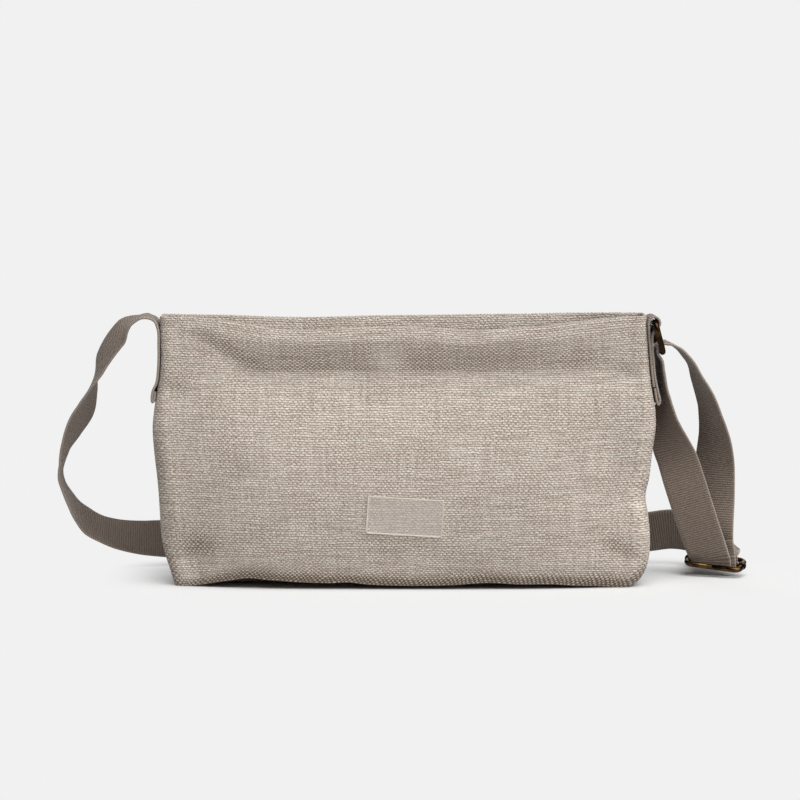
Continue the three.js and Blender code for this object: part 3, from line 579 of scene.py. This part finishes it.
def cloth_panel(face, cloth):
    """One panel of the body: the inside from the base up, over the folded rim, and the outside down again."""
    heights = np.arange(RIM_HEIGHT, 0, -cloth.weft_pitch)
    heights = np.append(heights, 0)
    base_rows = BASE_ROWS + -(len(heights) + BASE_ROWS - 1) % INNER_EVERY
    shares = np.linspace(1, 0, base_rows + 1)[1:]
    outer, out = panel_rows(face, 0, heights, shares)
    inner, _ = panel_rows(face, cloth.wall, heights, shares)
    rows, count = outer.shape[:2]

    column = np.arange(count)
    weave = np.sin(np.pi * column / 2)[None, :] * np.cos(np.pi * np.arange(rows))[:, None]
    outer += out * (cloth.crown * weave)[:, :, None] * (out[:, :, 2:] > -0.5)
    for place, share in enumerate(SEAM_SHARES):
        outer[: len(heights), place, 0] += SEAM_GROOVE * share
        outer[: len(heights), -1 - place, 0] -= SEAM_GROOVE * share

    inner = inner[::INNER_EVERY]
    middle = (outer[0] + inner[0]) / 2
    half = (outer[0] - inner[0]) / 2
    reach = np.linalg.norm(half, axis=1, keepdims=True)
    scallop = RIM_SCALLOP * np.cos(2 * np.pi * column / 3)[:, None]
    rim = []
    for k in range(RIM_STEPS, 0, -1):
        angle = np.pi * k / (RIM_STEPS + 1)
        rim.append(middle + half * np.cos(angle) + np.array((0, 0, 1)) * (reach + scallop) * np.sin(angle))
    surface = np.concatenate([inner[::-1], np.array(rim), outer])
    total = surface.shape[0]
    points = surface.reshape(-1, 3)

    inside = len(inner)
    run = np.concatenate([
        -np.arange(inside)[::-1] * INNER_EVERY - RIM_STEPS,
        -np.arange(RIM_STEPS)[::-1],
        np.arange(1, rows + 1),
    ])
    u = np.tile(column * cloth.warp_pitch / 2, total)
    v = np.repeat(run * cloth.weft_pitch, count)
    flip = face == "back"
    faces = grid_faces(total, count, flip)
    first_outer = inside + RIM_STEPS
    for c, reverse in ((0, flip), (count - 1, not flip)):
        top = [(inside - 1 + k) * count + c for k in range(RIM_STEPS + 2)]
        faces.append(top if reverse else top[::-1])
        for k in range(inside - 1):
            outside = [(first_outer + k * INNER_EVERY + i) * count + c for i in range(INNER_EVERY + 1)]
            within = [(inside - 2 - k) * count + c, (inside - 1 - k) * count + c]
            loop = outside + within
            faces.append(loop if reverse else loop[::-1])
    for c in range(count - 1):
        last = (total - 1) * count + c
        quad = (last, c, c + 1, last + 1)
        faces.append(quad[::-1] if flip else quad)
    return mesh_piece(f"cloth_{face}", points, faces, np.stack([u, v], axis=1), "Cloth")


def front_depth(x, z):
    """Depth of the front face at one place on it."""
    at = {name: float(smooth_column(SECTIONS, "z", name, np.array([z]))[0]) for name in SECTION_COLUMNS[1:]}
    reach = (at["left"] if x < 0 else at["right"]) - at["corner"]
    push = float(fold_push("front", np.array([x]), np.array([z]))[0])
    return at["side"] + (at["front"] - at["side"]) * float(bulge(np.array([x / reach]))[0]) + push


def smooth_line(rows, steps):
    """A smooth line through rows of numbers, so many steps between two rows (centripetal Catmull-Rom)."""
    rows = np.asarray(rows, float)
    padded = np.vstack([2 * rows[0] - rows[1], rows, 2 * rows[-1] - rows[-2]])
    t = np.linspace(0, 1, steps, endpoint=False)[:, None]
    out = []
    for i in range(len(rows) - 1):
        before, start, stop, after = padded[i : i + 4]
        gaps = [np.linalg.norm(b - a) ** 0.5 for a, b in ((before, start), (start, stop), (stop, after))]
        middle = gaps[1] if gaps[1] > LEAST_GAP else 1.0
        first = gaps[0] if gaps[0] > LEAST_GAP else middle
        last = gaps[2] if gaps[2] > LEAST_GAP else middle
        pace = (stop - start) / middle
        leave = ((start - before) / first - (stop - before) / (first + middle) + pace) * middle
        arrive = (pace - (after - start) / (middle + last) + (after - stop) / last) * middle
        out.append(cubic(start, stop - start, leave, arrive, t))
    out.append(rows[-1:])
    return np.vstack(out)


def ribbon_line(rows, spacing):
    """Evenly spaced stations along a route: middle line, across and square directions, and distance."""
    rows = np.asarray(rows, float)
    width = rows[:, 3:] / np.linalg.norm(rows[:, 3:], axis=1, keepdims=True)
    line = smooth_line(rows[:, :3], ROUTE_STEPS)
    turn = smooth_line(width, ROUTE_STEPS)
    far = np.concatenate([[0], np.cumsum(np.linalg.norm(np.diff(line, axis=0), axis=1))])
    count = int(round(far[-1] / spacing))
    at = np.linspace(0, far[-1], count + 1)
    middle = np.stack([np.interp(at, far, line[:, k]) for k in range(3)], axis=1)
    across = np.stack([np.interp(at, far, turn[:, k]) for k in range(3)], axis=1)
    along = np.gradient(middle, axis=0)
    along /= np.linalg.norm(along, axis=1, keepdims=True)
    across -= along * np.sum(across * along, axis=1, keepdims=True)
    across /= np.linalg.norm(across, axis=1, keepdims=True)
    middle[:, 0] += CENTRING
    return middle, across, np.cross(along, across), at


def webbing_piece(name, rows, webbing):
    """Ribbed webbing along a route, with rounded, scalloped selvedges. Also gives its middle line."""
    middle, across, square, at = ribbon_line(rows, webbing.rib_pitch / STATIONS_PER_RIB)
    wave = 0.5 - 0.5 * np.cos(2 * np.pi * at / webbing.rib_pitch)
    ring, uv_across = [], []
    for sign in (1, -1):
        for share in ACROSS[::sign]:
            edge = max(abs(share) - ROUND_FROM, 0) / (1 - ROUND_FROM)
            full = math.sqrt(max(1 - edge * edge, LEAST_EDGE))
            ring.append((share, sign * full))
            uv_across.append((share + 1) / 2 * webbing.width)
    count = len(ring)
    points = np.empty((len(at), count, 3))
    for k, (share, high) in enumerate(ring):
        reach = share * (webbing.width / 2 - SCALLOP * wave * (abs(share) > SCALLOP_FROM))
        stand = high * (webbing.thickness / 2 - webbing.groove * wave * (abs(share) < ROUND_FROM))
        points[:, k] = middle + across * reach[:, None] + square * stand[:, None]
    faces = []
    for s in range(len(at) - 1):
        for k in range(count):
            a, b = s * count + k, s * count + (k + 1) % count
            faces.append((a, a + count, b + count, b))
    faces.append(tuple(range(count)))
    last = (len(at) - 1) * count
    faces.append(tuple(range(last, last + count))[::-1])
    uv = np.stack([np.tile(uv_across, len(at)), np.repeat(at, count)], axis=1)
    piece = mesh_piece(name, points.reshape(-1, 3), faces, uv, "Webbing")
    return piece, middle


def slider_frame():
    """Place and turn of the slider."""
    turn = (
        Matrix.Rotation(SLIDER_YAW, 4, "Z")
        @ Matrix.Rotation(SLIDER_ROLL, 4, "Y")
        @ Matrix.Rotation(SLIDER_TILT, 4, "X")
    )
    return Matrix.Translation(SLIDER_AT) @ turn


def in_slider(rows):
    """Route rows given in the slider's frame."""
    place = slider_frame()
    width = place.to_3x3() @ Vector((1, 0, 0))
    out = []
    for across, square, along in rows:
        at = place @ Vector((along * MM, across * MM, square * MM))
        out.append((*at, *width))
    return out


def strap_route():
    """Every row of the strap's route, end to end."""
    return [
        *STRAP_START,
        *in_slider(SLIDER_THREAD),
        *FRONT_RUN,
        *RING_WRAP,
        *BACK_RUN,
        *in_slider(SLIDER_LOOP),
    ]


def deselect():
    """Leaves nothing selected."""
    bpy.ops.object.select_all(action="DESELECT")


def select_only(piece):
    """Selects one piece alone and makes it the active one."""
    deselect()
    piece.select_set(True)
    bpy.context.view_layer.objects.active = piece


def apply_modifier(piece, name, kind, **settings):
    """Adds a modifier to the active piece with its settings, and applies it."""
    modifier = piece.modifiers.new(name, kind)
    for key, value in settings.items():
        setattr(modifier, key, value)
    bpy.ops.object.modifier_apply(modifier=modifier.name)


def finish_piece(piece, material, node):
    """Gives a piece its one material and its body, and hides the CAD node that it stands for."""
    piece.data.materials.clear()
    piece.data.materials.append(material)
    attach(piece, "root")
    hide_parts(node)


def add_node(tree, kind, inputs=None, **settings):
    """Adds a shader node; an input is a value, a socket, or a node, which gives its first live output."""
    node = tree.nodes.new(f"ShaderNode{kind}")
    for name, value in settings.items():
        setattr(node, name, value)
    for key, value in (inputs or {}).items():
        if isinstance(value, bpy.types.Node):
            value = next(socket for socket in value.outputs if socket.enabled)
        if isinstance(value, bpy.types.NodeSocket):
            tree.links.new(value, node.inputs[key])
        else:
            node.inputs[key].default_value = value
    return node


def new_material(name):
    """An empty node material, and the function that adds a node to it."""
    material = bpy.data.materials.new(name)
    material.use_nodes = True
    material.node_tree.nodes.clear()
    return material, partial(add_node, material.node_tree)


def opaque(rgb):
    """A colour with full alpha."""
    return (*rgb, 1.0)


def coarse_plain_weave(cloth):
    """Linen-look cotton, plain woven of uneven yarns: matt, light crowns on dark gaps, slubs in the weft,
    painted shade where it faces down.
    """
    material, add = new_material("Coarse plain weave")
    uv = add("UVMap", uv_map="Cloth")
    parts = add("SeparateXYZ", {0: uv})

    # One wave for the upright yarns and one for the level yarns, both swaying a little
    sway = add("TexNoise", {"Vector": uv, "Scale": 1 / (13 * MM), "Detail": 3.0})
    swayed = add("SeparateColor", {0: sway.outputs["Color"]})
    waves = []
    for axis, pitch, channel, drift in (("X", cloth.warp_pitch, 0, 9.0), ("Y", cloth.weft_pitch, 1, 5.0)):
        phase = add("Math", {0: parts.outputs[axis], 1: math.pi / pitch}, operation="MULTIPLY")
        shift = add("Math", {0: swayed.outputs[channel], 1: drift, 2: phase}, operation="MULTIPLY_ADD")
        waves.append(add("Math", {0: shift}, operation="SINE"))
    crossing = add("Math", {0: waves[0], 1: waves[1]}, operation="MULTIPLY")
    weft_over = add("MapRange", {"Value": crossing, "From Min": -0.6, "From Max": 0.5})
    row = add("Math", {0: waves[1]}, operation="ABSOLUTE")
    yarn_round = add("Math", {0: row, 1: 0.6}, operation="POWER")
    crown = add("Math", {0: yarn_round, 1: weft_over}, operation="MULTIPLY")

    # Flecks break the yarns up. Where the cloth is slack the gaps between them show more, and where it faces
    # down they take painted shade, for the light from above that misses them
    fleck_sizes = (1 / (1.0 * MM), 1 / (0.8 * MM), 0)
    flecks = add("VectorMath", {0: uv, 1: fleck_sizes}, operation="MULTIPLY")
    fleck = add("TexNoise", {"Vector": flecks, "Scale": 1.0, "Detail": 2.0})
    broken = add(
        "MapRange", {"Value": fleck, "From Min": 0.3, "From Max": 0.7, "To Min": 0.25, "To Max": 1.15}
    )
    tension = add("TexNoise", {"Vector": uv, "Scale": 1 / (28 * MM), "Detail": 3.0})
    slack = add(
        "MapRange", {"Value": tension, "From Min": 0.3, "From Max": 0.7, "To Min": 0.42, "To Max": 0.62}
    )
    facing = add("SeparateXYZ", {0: add("NewGeometry").outputs["Normal"]})
    # Painted shade: the more the cloth faces down, the darker its gaps
    leaning = add(
        "MapRange", {"Value": facing.outputs["Z"], "From Min": -0.02, "From Max": -0.42, "To Max": 0.6}
    )
    dip = add("Math", {0: leaning, 1: -0.7, 2: slack}, operation="MULTIPLY_ADD")
    level = add("MapRange", {"Value": weft_over, "To Min": dip})
    height = add("Math", {0: yarn_round, 1: level}, operation="MULTIPLY")
    height = add("Math", {0: height, 1: broken}, operation="MULTIPLY")
    hollow = add("Math", {0: 1.0, 1: crown}, operation="SUBTRACT")
    shaded = add("Math", {0: leaning, 1: hollow}, operation="MULTIPLY")
    kept = add("Math", {0: 1.0, 1: shaded}, operation="SUBTRACT")
    height = add("Math", {0: height, 1: kept}, operation="MULTIPLY", use_clamp=True)

    tone_sum = 0.0
    for stretch, share in (
        ((1 / (32 * MM), 1 / cloth.weft_pitch, 0), 1.1),  # along the level yarns
        ((1 / cloth.warp_pitch, 1 / (40 * MM), 0), 0.7),  # along the upright yarns
        ((0.6 / cloth.warp_pitch, 1 / cloth.weft_pitch, 0), 1.2),  # crown by crown
        ((1 / (26 * MM), 1 / (18 * MM), 0), 0.1),  # broad clouds
    ):
        along = add("VectorMath", {0: uv, 1: stretch}, operation="MULTIPLY")
        streak = add("TexNoise", {"Vector": along, "Scale": 1.0, "Detail": 1.0})
        tone_sum = add("Math", {0: streak, 1: share, 2: tone_sum}, operation="MULTIPLY_ADD")
    tone = add("MapRange", {"Value": tone_sum, "From Min": 1.2, "From Max": 1.9})
    yarn_tones = {"Factor": tone, 6: opaque(cloth.dark_yarn), 7: opaque(cloth.light_yarn)}
    yarn = add("Mix", yarn_tones, data_type="RGBA")
    filled = add("MapRange", {"Value": height, "From Min": 0.08, "From Max": 0.46})
    shade = add("Mix", {"Factor": filled, 6: opaque(cloth.gap), 7: yarn}, data_type="RGBA")

    fuzz = add("TexNoise", {"Vector": uv, "Scale": 1 / (0.7 * MM), "Detail": 3.0})
    strands = add("Math", {0: crown, 1: 0.5, 2: height}, operation="MULTIPLY_ADD")
    relief = add("Math", {0: fuzz, 1: 0.6, 2: strands}, operation="MULTIPLY_ADD")
    strength = add("Math", {0: leaning, 1: 0.9, 2: 0.55}, operation="MULTIPLY_ADD")
    bump = add("Bump", {"Height": relief, "Distance": 0.6 * MM, "Strength": strength})
    surface = add(
        "BsdfPrincipled",
        {
            "Base Color": shade,
            "Roughness": 0.95,
            "Specular IOR Level": 0.2,
            "Sheen Weight": 0.15,
            "Sheen Roughness": 0.6,
            "Normal": bump,
        },
    )
    add("OutputMaterial", {"Surface": surface})
    return material


def ribbed_cotton_webbing(webbing):
    """Cotton webbing woven with thick cross ribs: matt, beads of yarn on each rib and a paler woven edge."""
    material, add = new_material("Ribbed cotton webbing")
    uv = add("UVMap", uv_map="Webbing")
    parts = add("SeparateXYZ", {0: uv})
    across, along = parts.outputs["X"], parts.outputs["Y"]

    angle = add("Math", {0: along, 1: 2 * math.pi / webbing.rib_pitch}, operation="MULTIPLY")
    wave = add("Math", {0: angle}, operation="COSINE")
    rib = add("MapRange", {"Value": wave, "From Min": -0.9, "From Max": 0.7, "To Min": 0.18})
    bead_angle = add("Math", {0: across, 1: 2 * math.pi / (1.5 * MM)}, operation="MULTIPLY")
    slanted = add("Math", {0: angle, 1: 0.5, 2: bead_angle}, operation="MULTIPLY_ADD")
    bead = add("Math", {0: slanted}, operation="SINE")
    beads = add("MapRange", {"Value": bead, "From Min": -1.0, "To Min": 0.55})
    blot_sizes = (1 / (3 * MM), 1 / webbing.rib_pitch, 0)
    blots = add("VectorMath", {0: uv, 1: blot_sizes}, operation="MULTIPLY")
    blot = add("TexNoise", {"Vector": blots, "Scale": 1.0, "Detail": 2.0})
    uneven = add(
        "MapRange", {"Value": blot, "From Min": 0.25, "From Max": 0.75, "To Min": 0.5, "To Max": 1.25}
    )
    lit = add("Math", {0: rib, 1: beads}, operation="MULTIPLY")
    lit = add("Math", {0: lit, 1: uneven}, operation="MULTIPLY")
    shade = add(
        "Mix",
        {"Factor": lit, 6: opaque(webbing.groove_colour), 7: opaque(webbing.crown)},
        data_type="RGBA",
        clamp_factor=True,
    )

    half = webbing.width / 2
    off_middle = add("Math", {0: across, 1: half}, operation="SUBTRACT")
    off_middle = add("Math", {0: off_middle}, operation="ABSOLUTE")
    edge = add(
        "MapRange",
        {"Value": off_middle, "From Min": half - 1.1 * MM, "From Max": half - 0.4 * MM, "To Max": 0.8},
    )
    edge_rib = add("MapRange", {"Value": rib, "To Min": 0.6})
    edge_lit = add("Math", {0: edge, 1: edge_rib}, operation="MULTIPLY")
    edged = add("Mix", {"Factor": edge_lit, 6: shade, 7: opaque(webbing.selvedge)}, data_type="RGBA")

    # Painted shade: the stretch that lies on the floor behind the bag is darkened, for the bag's shade on it
    place = add("SeparateXYZ", {0: add("TexCoord").outputs["Object"]})
    painted_shade_behind = add(
        "MapRange",
        {
            "Value": place.outputs["Y"],
            "From Min": SHADE_BEHIND_FROM,
            "From Max": SHADE_BEHIND_TO,
            "To Min": 1.0,
            "To Max": webbing.painted_shade_behind,
        },
    )
    toned = add("VectorMath", {0: edged, "Scale": painted_shade_behind}, operation="SCALE")

    fuzz = add("TexNoise", {"Vector": uv, "Scale": 1 / (0.5 * MM), "Detail": 2.0})
    relief = add("Math", {0: fuzz, 1: 0.5, 2: lit}, operation="MULTIPLY_ADD")
    bump = add("Bump", {"Height": relief, "Distance": 0.3 * MM, "Strength": 0.6})
    surface = add(
        "BsdfPrincipled",
        {
            "Base Color": toned,
            "Roughness": 0.9,
            "Specular IOR Level": 0.25,
            "Sheen Weight": 0.1,
            "Sheen Roughness": 0.5,
            "Normal": bump,
        },
    )
    add("OutputMaterial", {"Surface": surface})
    return material


def antique_brass(fittings):
    """Brass wire, darkened and tumbled: brown in the main, gold where it is rubbed, with a soft shine."""
    material, add = new_material("Antique brass")
    place = add("TexCoord").outputs["Object"]
    cloud = add("TexNoise", {"Vector": place, "Scale": 1 / (11 * MM), "Detail": 3.0})
    worn = add("MapRange", {"Value": cloud, "From Min": 0.4, "From Max": 0.68})
    tint = add(
        "Mix", {"Factor": worn, 6: opaque(fittings.dark), 7: opaque(fittings.rubbed)}, data_type="RGBA"
    )
    gloss = add("MapRange", {"Value": cloud, "From Min": 0.3, "From Max": 0.7, "To Min": 0.3, "To Max": 0.16})
    pits = add("TexNoise", {"Vector": place, "Scale": 1 / (0.8 * MM), "Detail": 4.0})
    bump = add("Bump", {"Height": pits, "Distance": 0.1 * MM, "Strength": 0.25})
    surface = add("BsdfPrincipled", {"Base Color": tint, "Metallic": 1.0, "Roughness": gloss, "Normal": bump})
    add("OutputMaterial", {"Surface": surface})
    return material


def frosted_rubber(patch, cloth):
    """Clear frosted rubber, moulded thin: a satin skin, the cloth's level yarns showing faintly through."""
    material, add = new_material("Frosted rubber")
    place = add("TexCoord").outputs["Object"]
    yarn_sizes = (1 / (9 * MM), 0, 1 / cloth.weft_pitch)
    drawn = add("VectorMath", {0: place, 1: yarn_sizes}, operation="MULTIPLY")
    yarns = add("TexNoise", {"Vector": drawn, "Scale": 1.0, "Detail": 2.0})
    level = add("MapRange", {"Value": yarns, "From Min": 0.3, "From Max": 0.7})
    deep = [c * 0.82 for c in patch.tint]
    tint = add("Mix", {"Factor": level, 6: opaque(deep), 7: opaque(patch.tint)}, data_type="RGBA")
    # The rim is paler and more opaque: thicker rubber, and painted light caught in its frosted edge
    edge = add("Attribute", attribute_name="Edge").outputs["Fac"]
    rimmed = add("Mix", {"Factor": edge, 6: tint, 7: opaque(patch.rim)}, data_type="RGBA")
    cover = add("MapRange", {"Value": edge, "To Min": 0.25, "To Max": 0.36})
    frost = add("TexNoise", {"Vector": place, "Scale": 1 / (0.6 * MM), "Detail": 2.0})
    bump = add("Bump", {"Height": frost, "Distance": 0.05 * MM, "Strength": 0.3})
    surface = add(
        "BsdfPrincipled",
        {
            "Base Color": rimmed,
            "Roughness": 0.5,
            "Alpha": cover,
            "Coat Weight": 0.15,
            "Coat Roughness": 0.45,
            "Normal": bump,
        },
    )
    add("OutputMaterial", {"Surface": surface})
    return material


def studio_floor(stage):
    """Pale matt board that fades to the backdrop's own tone away from the bag."""
    material, add = new_material("Pale studio board")
    place = add("TexCoord").outputs["Object"]
    from_middle = add("VectorMath", {0: place, 1: SHADED_MIDDLE}, operation="SUBTRACT")
    either_way = add("VectorMath", {0: from_middle}, operation="ABSOLUTE")
    beyond = add("VectorMath", {0: either_way, 1: SHADED_HALF}, operation="SUBTRACT")
    outside = add("VectorMath", {0: beyond, 1: (0, 0, 0)}, operation="MAXIMUM")
    far = add("VectorMath", {0: outside}, operation="LENGTH")
    fade = add("MapRange", {"Value": far, "From Max": SHADED_FADE}, interpolation_type="SMOOTHSTEP")
    board = add("BsdfDiffuse", {"Color": opaque(stage.floor)})
    glow = add("Emission", {"Color": opaque(stage.backdrop)})
    both = add("MixShader", {0: fade, 1: board, 2: glow})
    add("OutputMaterial", {"Surface": both})
    return material


def wire_loop(name, inside, pitch, wire, bend):
    """Round wire bent to a closed rectangle, lying in its own XY plane with its bars along X."""
    deselect()
    bpy.ops.mesh.primitive_plane_add(size=1)
    piece = bpy.context.object
    piece.name = name
    bpy.ops.object.mode_set(mode="EDIT")
    bpy.ops.mesh.select_all(action="SELECT")
    bpy.ops.transform.resize(value=(inside + wire, pitch, 1))
    bpy.ops.mesh.bevel(offset=bend, segments=10, affect="VERTICES")
    bpy.ops.mesh.delete(type="ONLY_FACE")
    bpy.ops.object.mode_set(mode="OBJECT")
    bpy.ops.object.convert(target="CURVE")
    piece.data.bevel_depth = wire / 2
    piece.data.bevel_resolution = 6
    bpy.ops.object.convert(target="MESH")
    return bpy.context.object


def place_piece(piece, matrix):
    """Puts a piece at its place in the frame, with the place in its mesh."""
    select_only(piece)
    piece.matrix_world = Matrix.Translation((CENTRING, 0, 0)) @ matrix
    bpy.ops.object.transform_apply(location=True, rotation=True, scale=True)
    bpy.ops.object.shade_smooth()


class BAG_OT_stage(bpy.types.Operator):
    """Adds the camera, the pale floor and the soft light"""

    bl_idname = "bag.stage"
    bl_label = "Stage"

    def execute(self, context):
        """Places the camera at the viewing angle and lights the floor round the bag."""
        stage = context.scene.bag_stage
        camera = bpy.data.cameras.new("Camera")
        camera.sensor_width = CAMERA_SENSOR
        camera.lens = CAMERA_LENS
        camera.clip_start = CAMERA_NEAR
        viewer = bpy.data.objects.new("Camera", camera)
        viewer.location = CAMERA_AT
        viewer.rotation_euler = CAMERA_TURN
        context.scene.collection.objects.link(viewer)
        context.scene.camera = viewer

        deselect()
        bpy.ops.mesh.primitive_plane_add(size=FLOOR_SIZE)
        floor = context.object
        floor.name = "Floor"
        floor.data.materials.append(studio_floor(stage))

        world = bpy.data.worlds.new("Studio")
        context.scene.world = world
        world.use_nodes = True
        world.node_tree.nodes.clear()
        add = partial(add_node, world.node_tree)
        seen = add("Background", {"Color": opaque(stage.backdrop), "Strength": 1.0})
        light = add("Background", {"Color": (1, 1, 1, 1), "Strength": stage.ambient})
        from_camera = add("LightPath").outputs["Is Camera Ray"]
        both = add("MixShader", {0: from_camera, 1: light, 2: seen})
        add("OutputWorld", {"Surface": both})

        for name, high, round_to, strength in STUDIO_LIGHTS:
            lamp = bpy.data.lights.new(name, "SUN")
            lamp.energy = math.pi * strength * stage.key
            lamp.angle = SOFTNESS
            holder = bpy.data.objects.new(name, lamp)
            up, turn = math.radians(high), math.radians(round_to)
            toward = Vector((math.cos(up) * math.sin(turn), -math.cos(up) * math.cos(turn), math.sin(up)))
            holder.rotation_euler = (-toward).to_track_quat("-Z", "Y").to_euler()
            context.scene.collection.objects.link(holder)
        context.scene.view_settings.view_transform = "Standard"
        return {"FINISHED"}


class BAG_OT_fittings(bpy.types.Operator):
    """Bends the brass ring and the slider"""

    bl_idname = "bag.fittings"
    bl_label = "Brass fittings"

    def execute(self, context):
        """Makes both fittings of round wire, the slider with its middle bar crimped on."""
        fittings = context.scene.bag_fittings
        brass = antique_brass(fittings)
        bend = fittings.bend
        ring = wire_loop("brass_ring", fittings.ring_inside, fittings.ring_pitch, fittings.ring_wire, bend)
        down = Vector((math.sin(RING_LEAN), 0, -math.cos(RING_LEAN)))
        along = Vector((0, 1, 0))
        turn = Matrix((along, down, along.cross(down))).transposed().to_4x4()
        middle = RING_TOP + down * fittings.ring_pitch / 2
        place_piece(ring, Matrix.Translation(middle) @ turn)

        wire = fittings.slider_wire
        pitch = 2 * fittings.slider_pitch
        slider = wire_loop("brass_slider", fittings.slider_inside, pitch, wire, bend)
        deselect()
        bpy.ops.mesh.primitive_cube_add(size=1, location=(0, -pitch / 2, 0))
        cut = context.object
        cut.scale = (fittings.butt_gap, 2 * wire, 2 * wire)
        context.view_layer.objects.active = slider
        apply_modifier(slider, "Butt joint", "BOOLEAN", object=cut)
        bpy.data.objects.remove(cut)
        reach = fittings.slider_inside / 2 + wire / 2
        deselect()
        bpy.ops.mesh.primitive_cylinder_add(
            vertices=32, radius=fittings.middle_bar / 2, depth=2 * reach, rotation=(0, math.pi / 2, 0)
        )
        pieces = [slider, context.object]
        for side in (-1, 1):
            bpy.ops.mesh.primitive_torus_add(
                location=(side * reach, 0, 0),
                rotation=(math.pi / 2, 0, 0),
                major_radius=wire / 2 + COLLAR_STAND,
                minor_radius=COLLAR_WALL,
                major_segments=32,
                minor_segments=12,
            )
            collar = context.object
            collar.scale = (1, 1, COLLAR_STRETCH)
            pieces.append(collar)
        deselect()
        for piece in pieces:
            piece.select_set(True)
        context.view_layer.objects.active = slider
        bpy.ops.object.join()
        place_piece(slider, slider_frame())
        finish_piece(ring, brass, "strap_ring")
        finish_piece(slider, brass, "strap_slider")
        return {"FINISHED"}


class BAG_OT_strap(bpy.types.Operator):
    """Lays the webbing strap along its route"""

    bl_idname = "bag.strap"
    bl_label = "Strap"

    def execute(self, context):
        webbing = context.scene.bag_webbing
        strap, middle = webbing_piece("webbing_strap", strap_route(), webbing)
        finish_piece(strap, ribbed_cotton_webbing(webbing), "shoulder_strap")
        return {"FINISHED"}


class BAG_OT_tab(bpy.types.Operator):
    """Folds the webbing tab that carries the ring"""

    bl_idname = "bag.tab"
    bl_label = "Ring tab"

    def execute(self, context):
        """Weaves the tab in the strap's webbing."""
        rows = [(x, 0, z, 0, 1, 0) for x, z in TAB_ROUTE]
        tab, _ = webbing_piece("webbing_tab", rows, context.scene.bag_webbing)
        finish_piece(tab, bpy.data.materials["Ribbed cotton webbing"], "ring_tab")
        return {"FINISHED"}


class BAG_OT_body(bpy.types.Operator):
    """Builds the front and back cloth panels"""

    bl_idname = "bag.body"
    bl_label = "Body"

    def execute(self, context):
        """Lofts each panel as a folded sheet of cloth."""
        cloth = context.scene.bag_cloth
        weave = coarse_plain_weave(cloth)
        for face in ("front", "back"):
            panel = cloth_panel(face, cloth)
            finish_piece(panel, weave, f"{face}_panel")
        return {"FINISHED"}


class BAG_OT_patch(bpy.types.Operator):
    """Moulds the bare patch on the front"""

    bl_idname = "bag.patch"
    bl_label = "Patch"

    def execute(self, context):
        """Shapes a thin plate with a raised rim and lays it on the front's swell."""
        patch = context.scene.bag_patch
        deselect()
        bpy.ops.mesh.primitive_plane_add(size=1)
        piece = context.object
        piece.name = "rubber_patch"
        bpy.ops.object.mode_set(mode="EDIT")
        bpy.ops.mesh.select_all(action="SELECT")
        bpy.ops.transform.resize(value=(patch.long, patch.high, 1))
        bpy.ops.mesh.bevel(offset=PATCH_CORNER, segments=6, affect="VERTICES")
        bpy.ops.mesh.select_all(action="SELECT")
        for inset, rise in PATCH_RIM:
            bpy.ops.mesh.inset(thickness=inset)
            bpy.ops.transform.translate(value=(0, 0, rise))
        bpy.ops.object.mode_set(mode="OBJECT")
        select_only(piece)
        plate = patch.thickness - PATCH_RIM_RISE
        apply_modifier(piece, "Wall", "SOLIDIFY", thickness=plate, offset=-1)
        apply_modifier(piece, "Soft edges", "BEVEL", width=PATCH_SOFT_EDGE, segments=2)
        edge = piece.data.attributes.new("Edge", "FLOAT", "POINT")
        for vertex in piece.data.vertices:
            across, up, stand = vertex.co
            inside = min(patch.long / 2 - abs(across), patch.high / 2 - abs(up))
            edge.data[vertex.index].value = float(inside < PATCH_RIM_WIDTH)
            x = across * math.cos(patch.turn) - up * math.sin(patch.turn)
            z = patch.above_floor + across * math.sin(patch.turn) + up * math.cos(patch.turn)
            lift = PATCH_GAP + plate + stand
            vertex.co = (x + CENTRING, -(front_depth(x, z) + lift), z)
        bpy.ops.object.shade_smooth_by_angle(angle=math.radians(40))
        finish_piece(piece, frosted_rubber(patch, context.scene.bag_cloth), "label_patch")
        return {"FINISHED"}


class BAG_PT_build(bpy.types.Panel):
    """Lists the bag's pieces in the sidebar"""

    bl_idname = "BAG_PT_build"
    bl_label = "Crossbody bag"
    bl_space_type = "VIEW_3D"
    bl_region_type = "UI"
    bl_category = "Bag"

    def draw(self, context):
        """One button for each piece."""
        for operator in OPERATORS:
            self.layout.operator(operator.bl_idname)


OPERATORS = (BAG_OT_stage, BAG_OT_fittings, BAG_OT_strap, BAG_OT_tab, BAG_OT_body, BAG_OT_patch)
SETTINGS = {
    "bag_cloth": ClothSettings,
    "bag_webbing": WebbingSettings,
    "bag_fittings": FittingSettings,
    "bag_patch": PatchSettings,
    "bag_stage": StageSettings,
}


def register():
    """Registers the settings, the operators and the panel."""
    for name, settings in SETTINGS.items():
        bpy.utils.register_class(settings)
        setattr(bpy.types.Scene, name, bpy.props.PointerProperty(type=settings))
    for operator in OPERATORS:
        bpy.utils.register_class(operator)
    bpy.utils.register_class(BAG_PT_build)


def unregister():
    """Takes them all away again."""
    bpy.utils.unregister_class(BAG_PT_build)
    for operator in reversed(OPERATORS):
        bpy.utils.unregister_class(operator)
    for name, settings in SETTINGS.items():
        delattr(bpy.types.Scene, name)
        bpy.utils.unregister_class(settings)


def main():
    """Builds the bag."""
    register()
    bpy.ops.bag.stage()
    bpy.ops.bag.fittings()  # the slider, then the strap that runs through it
    bpy.ops.bag.strap()
    bpy.ops.bag.tab()
    bpy.ops.bag.body()
    bpy.ops.bag.patch()


if __name__ == "__main__":
    main()
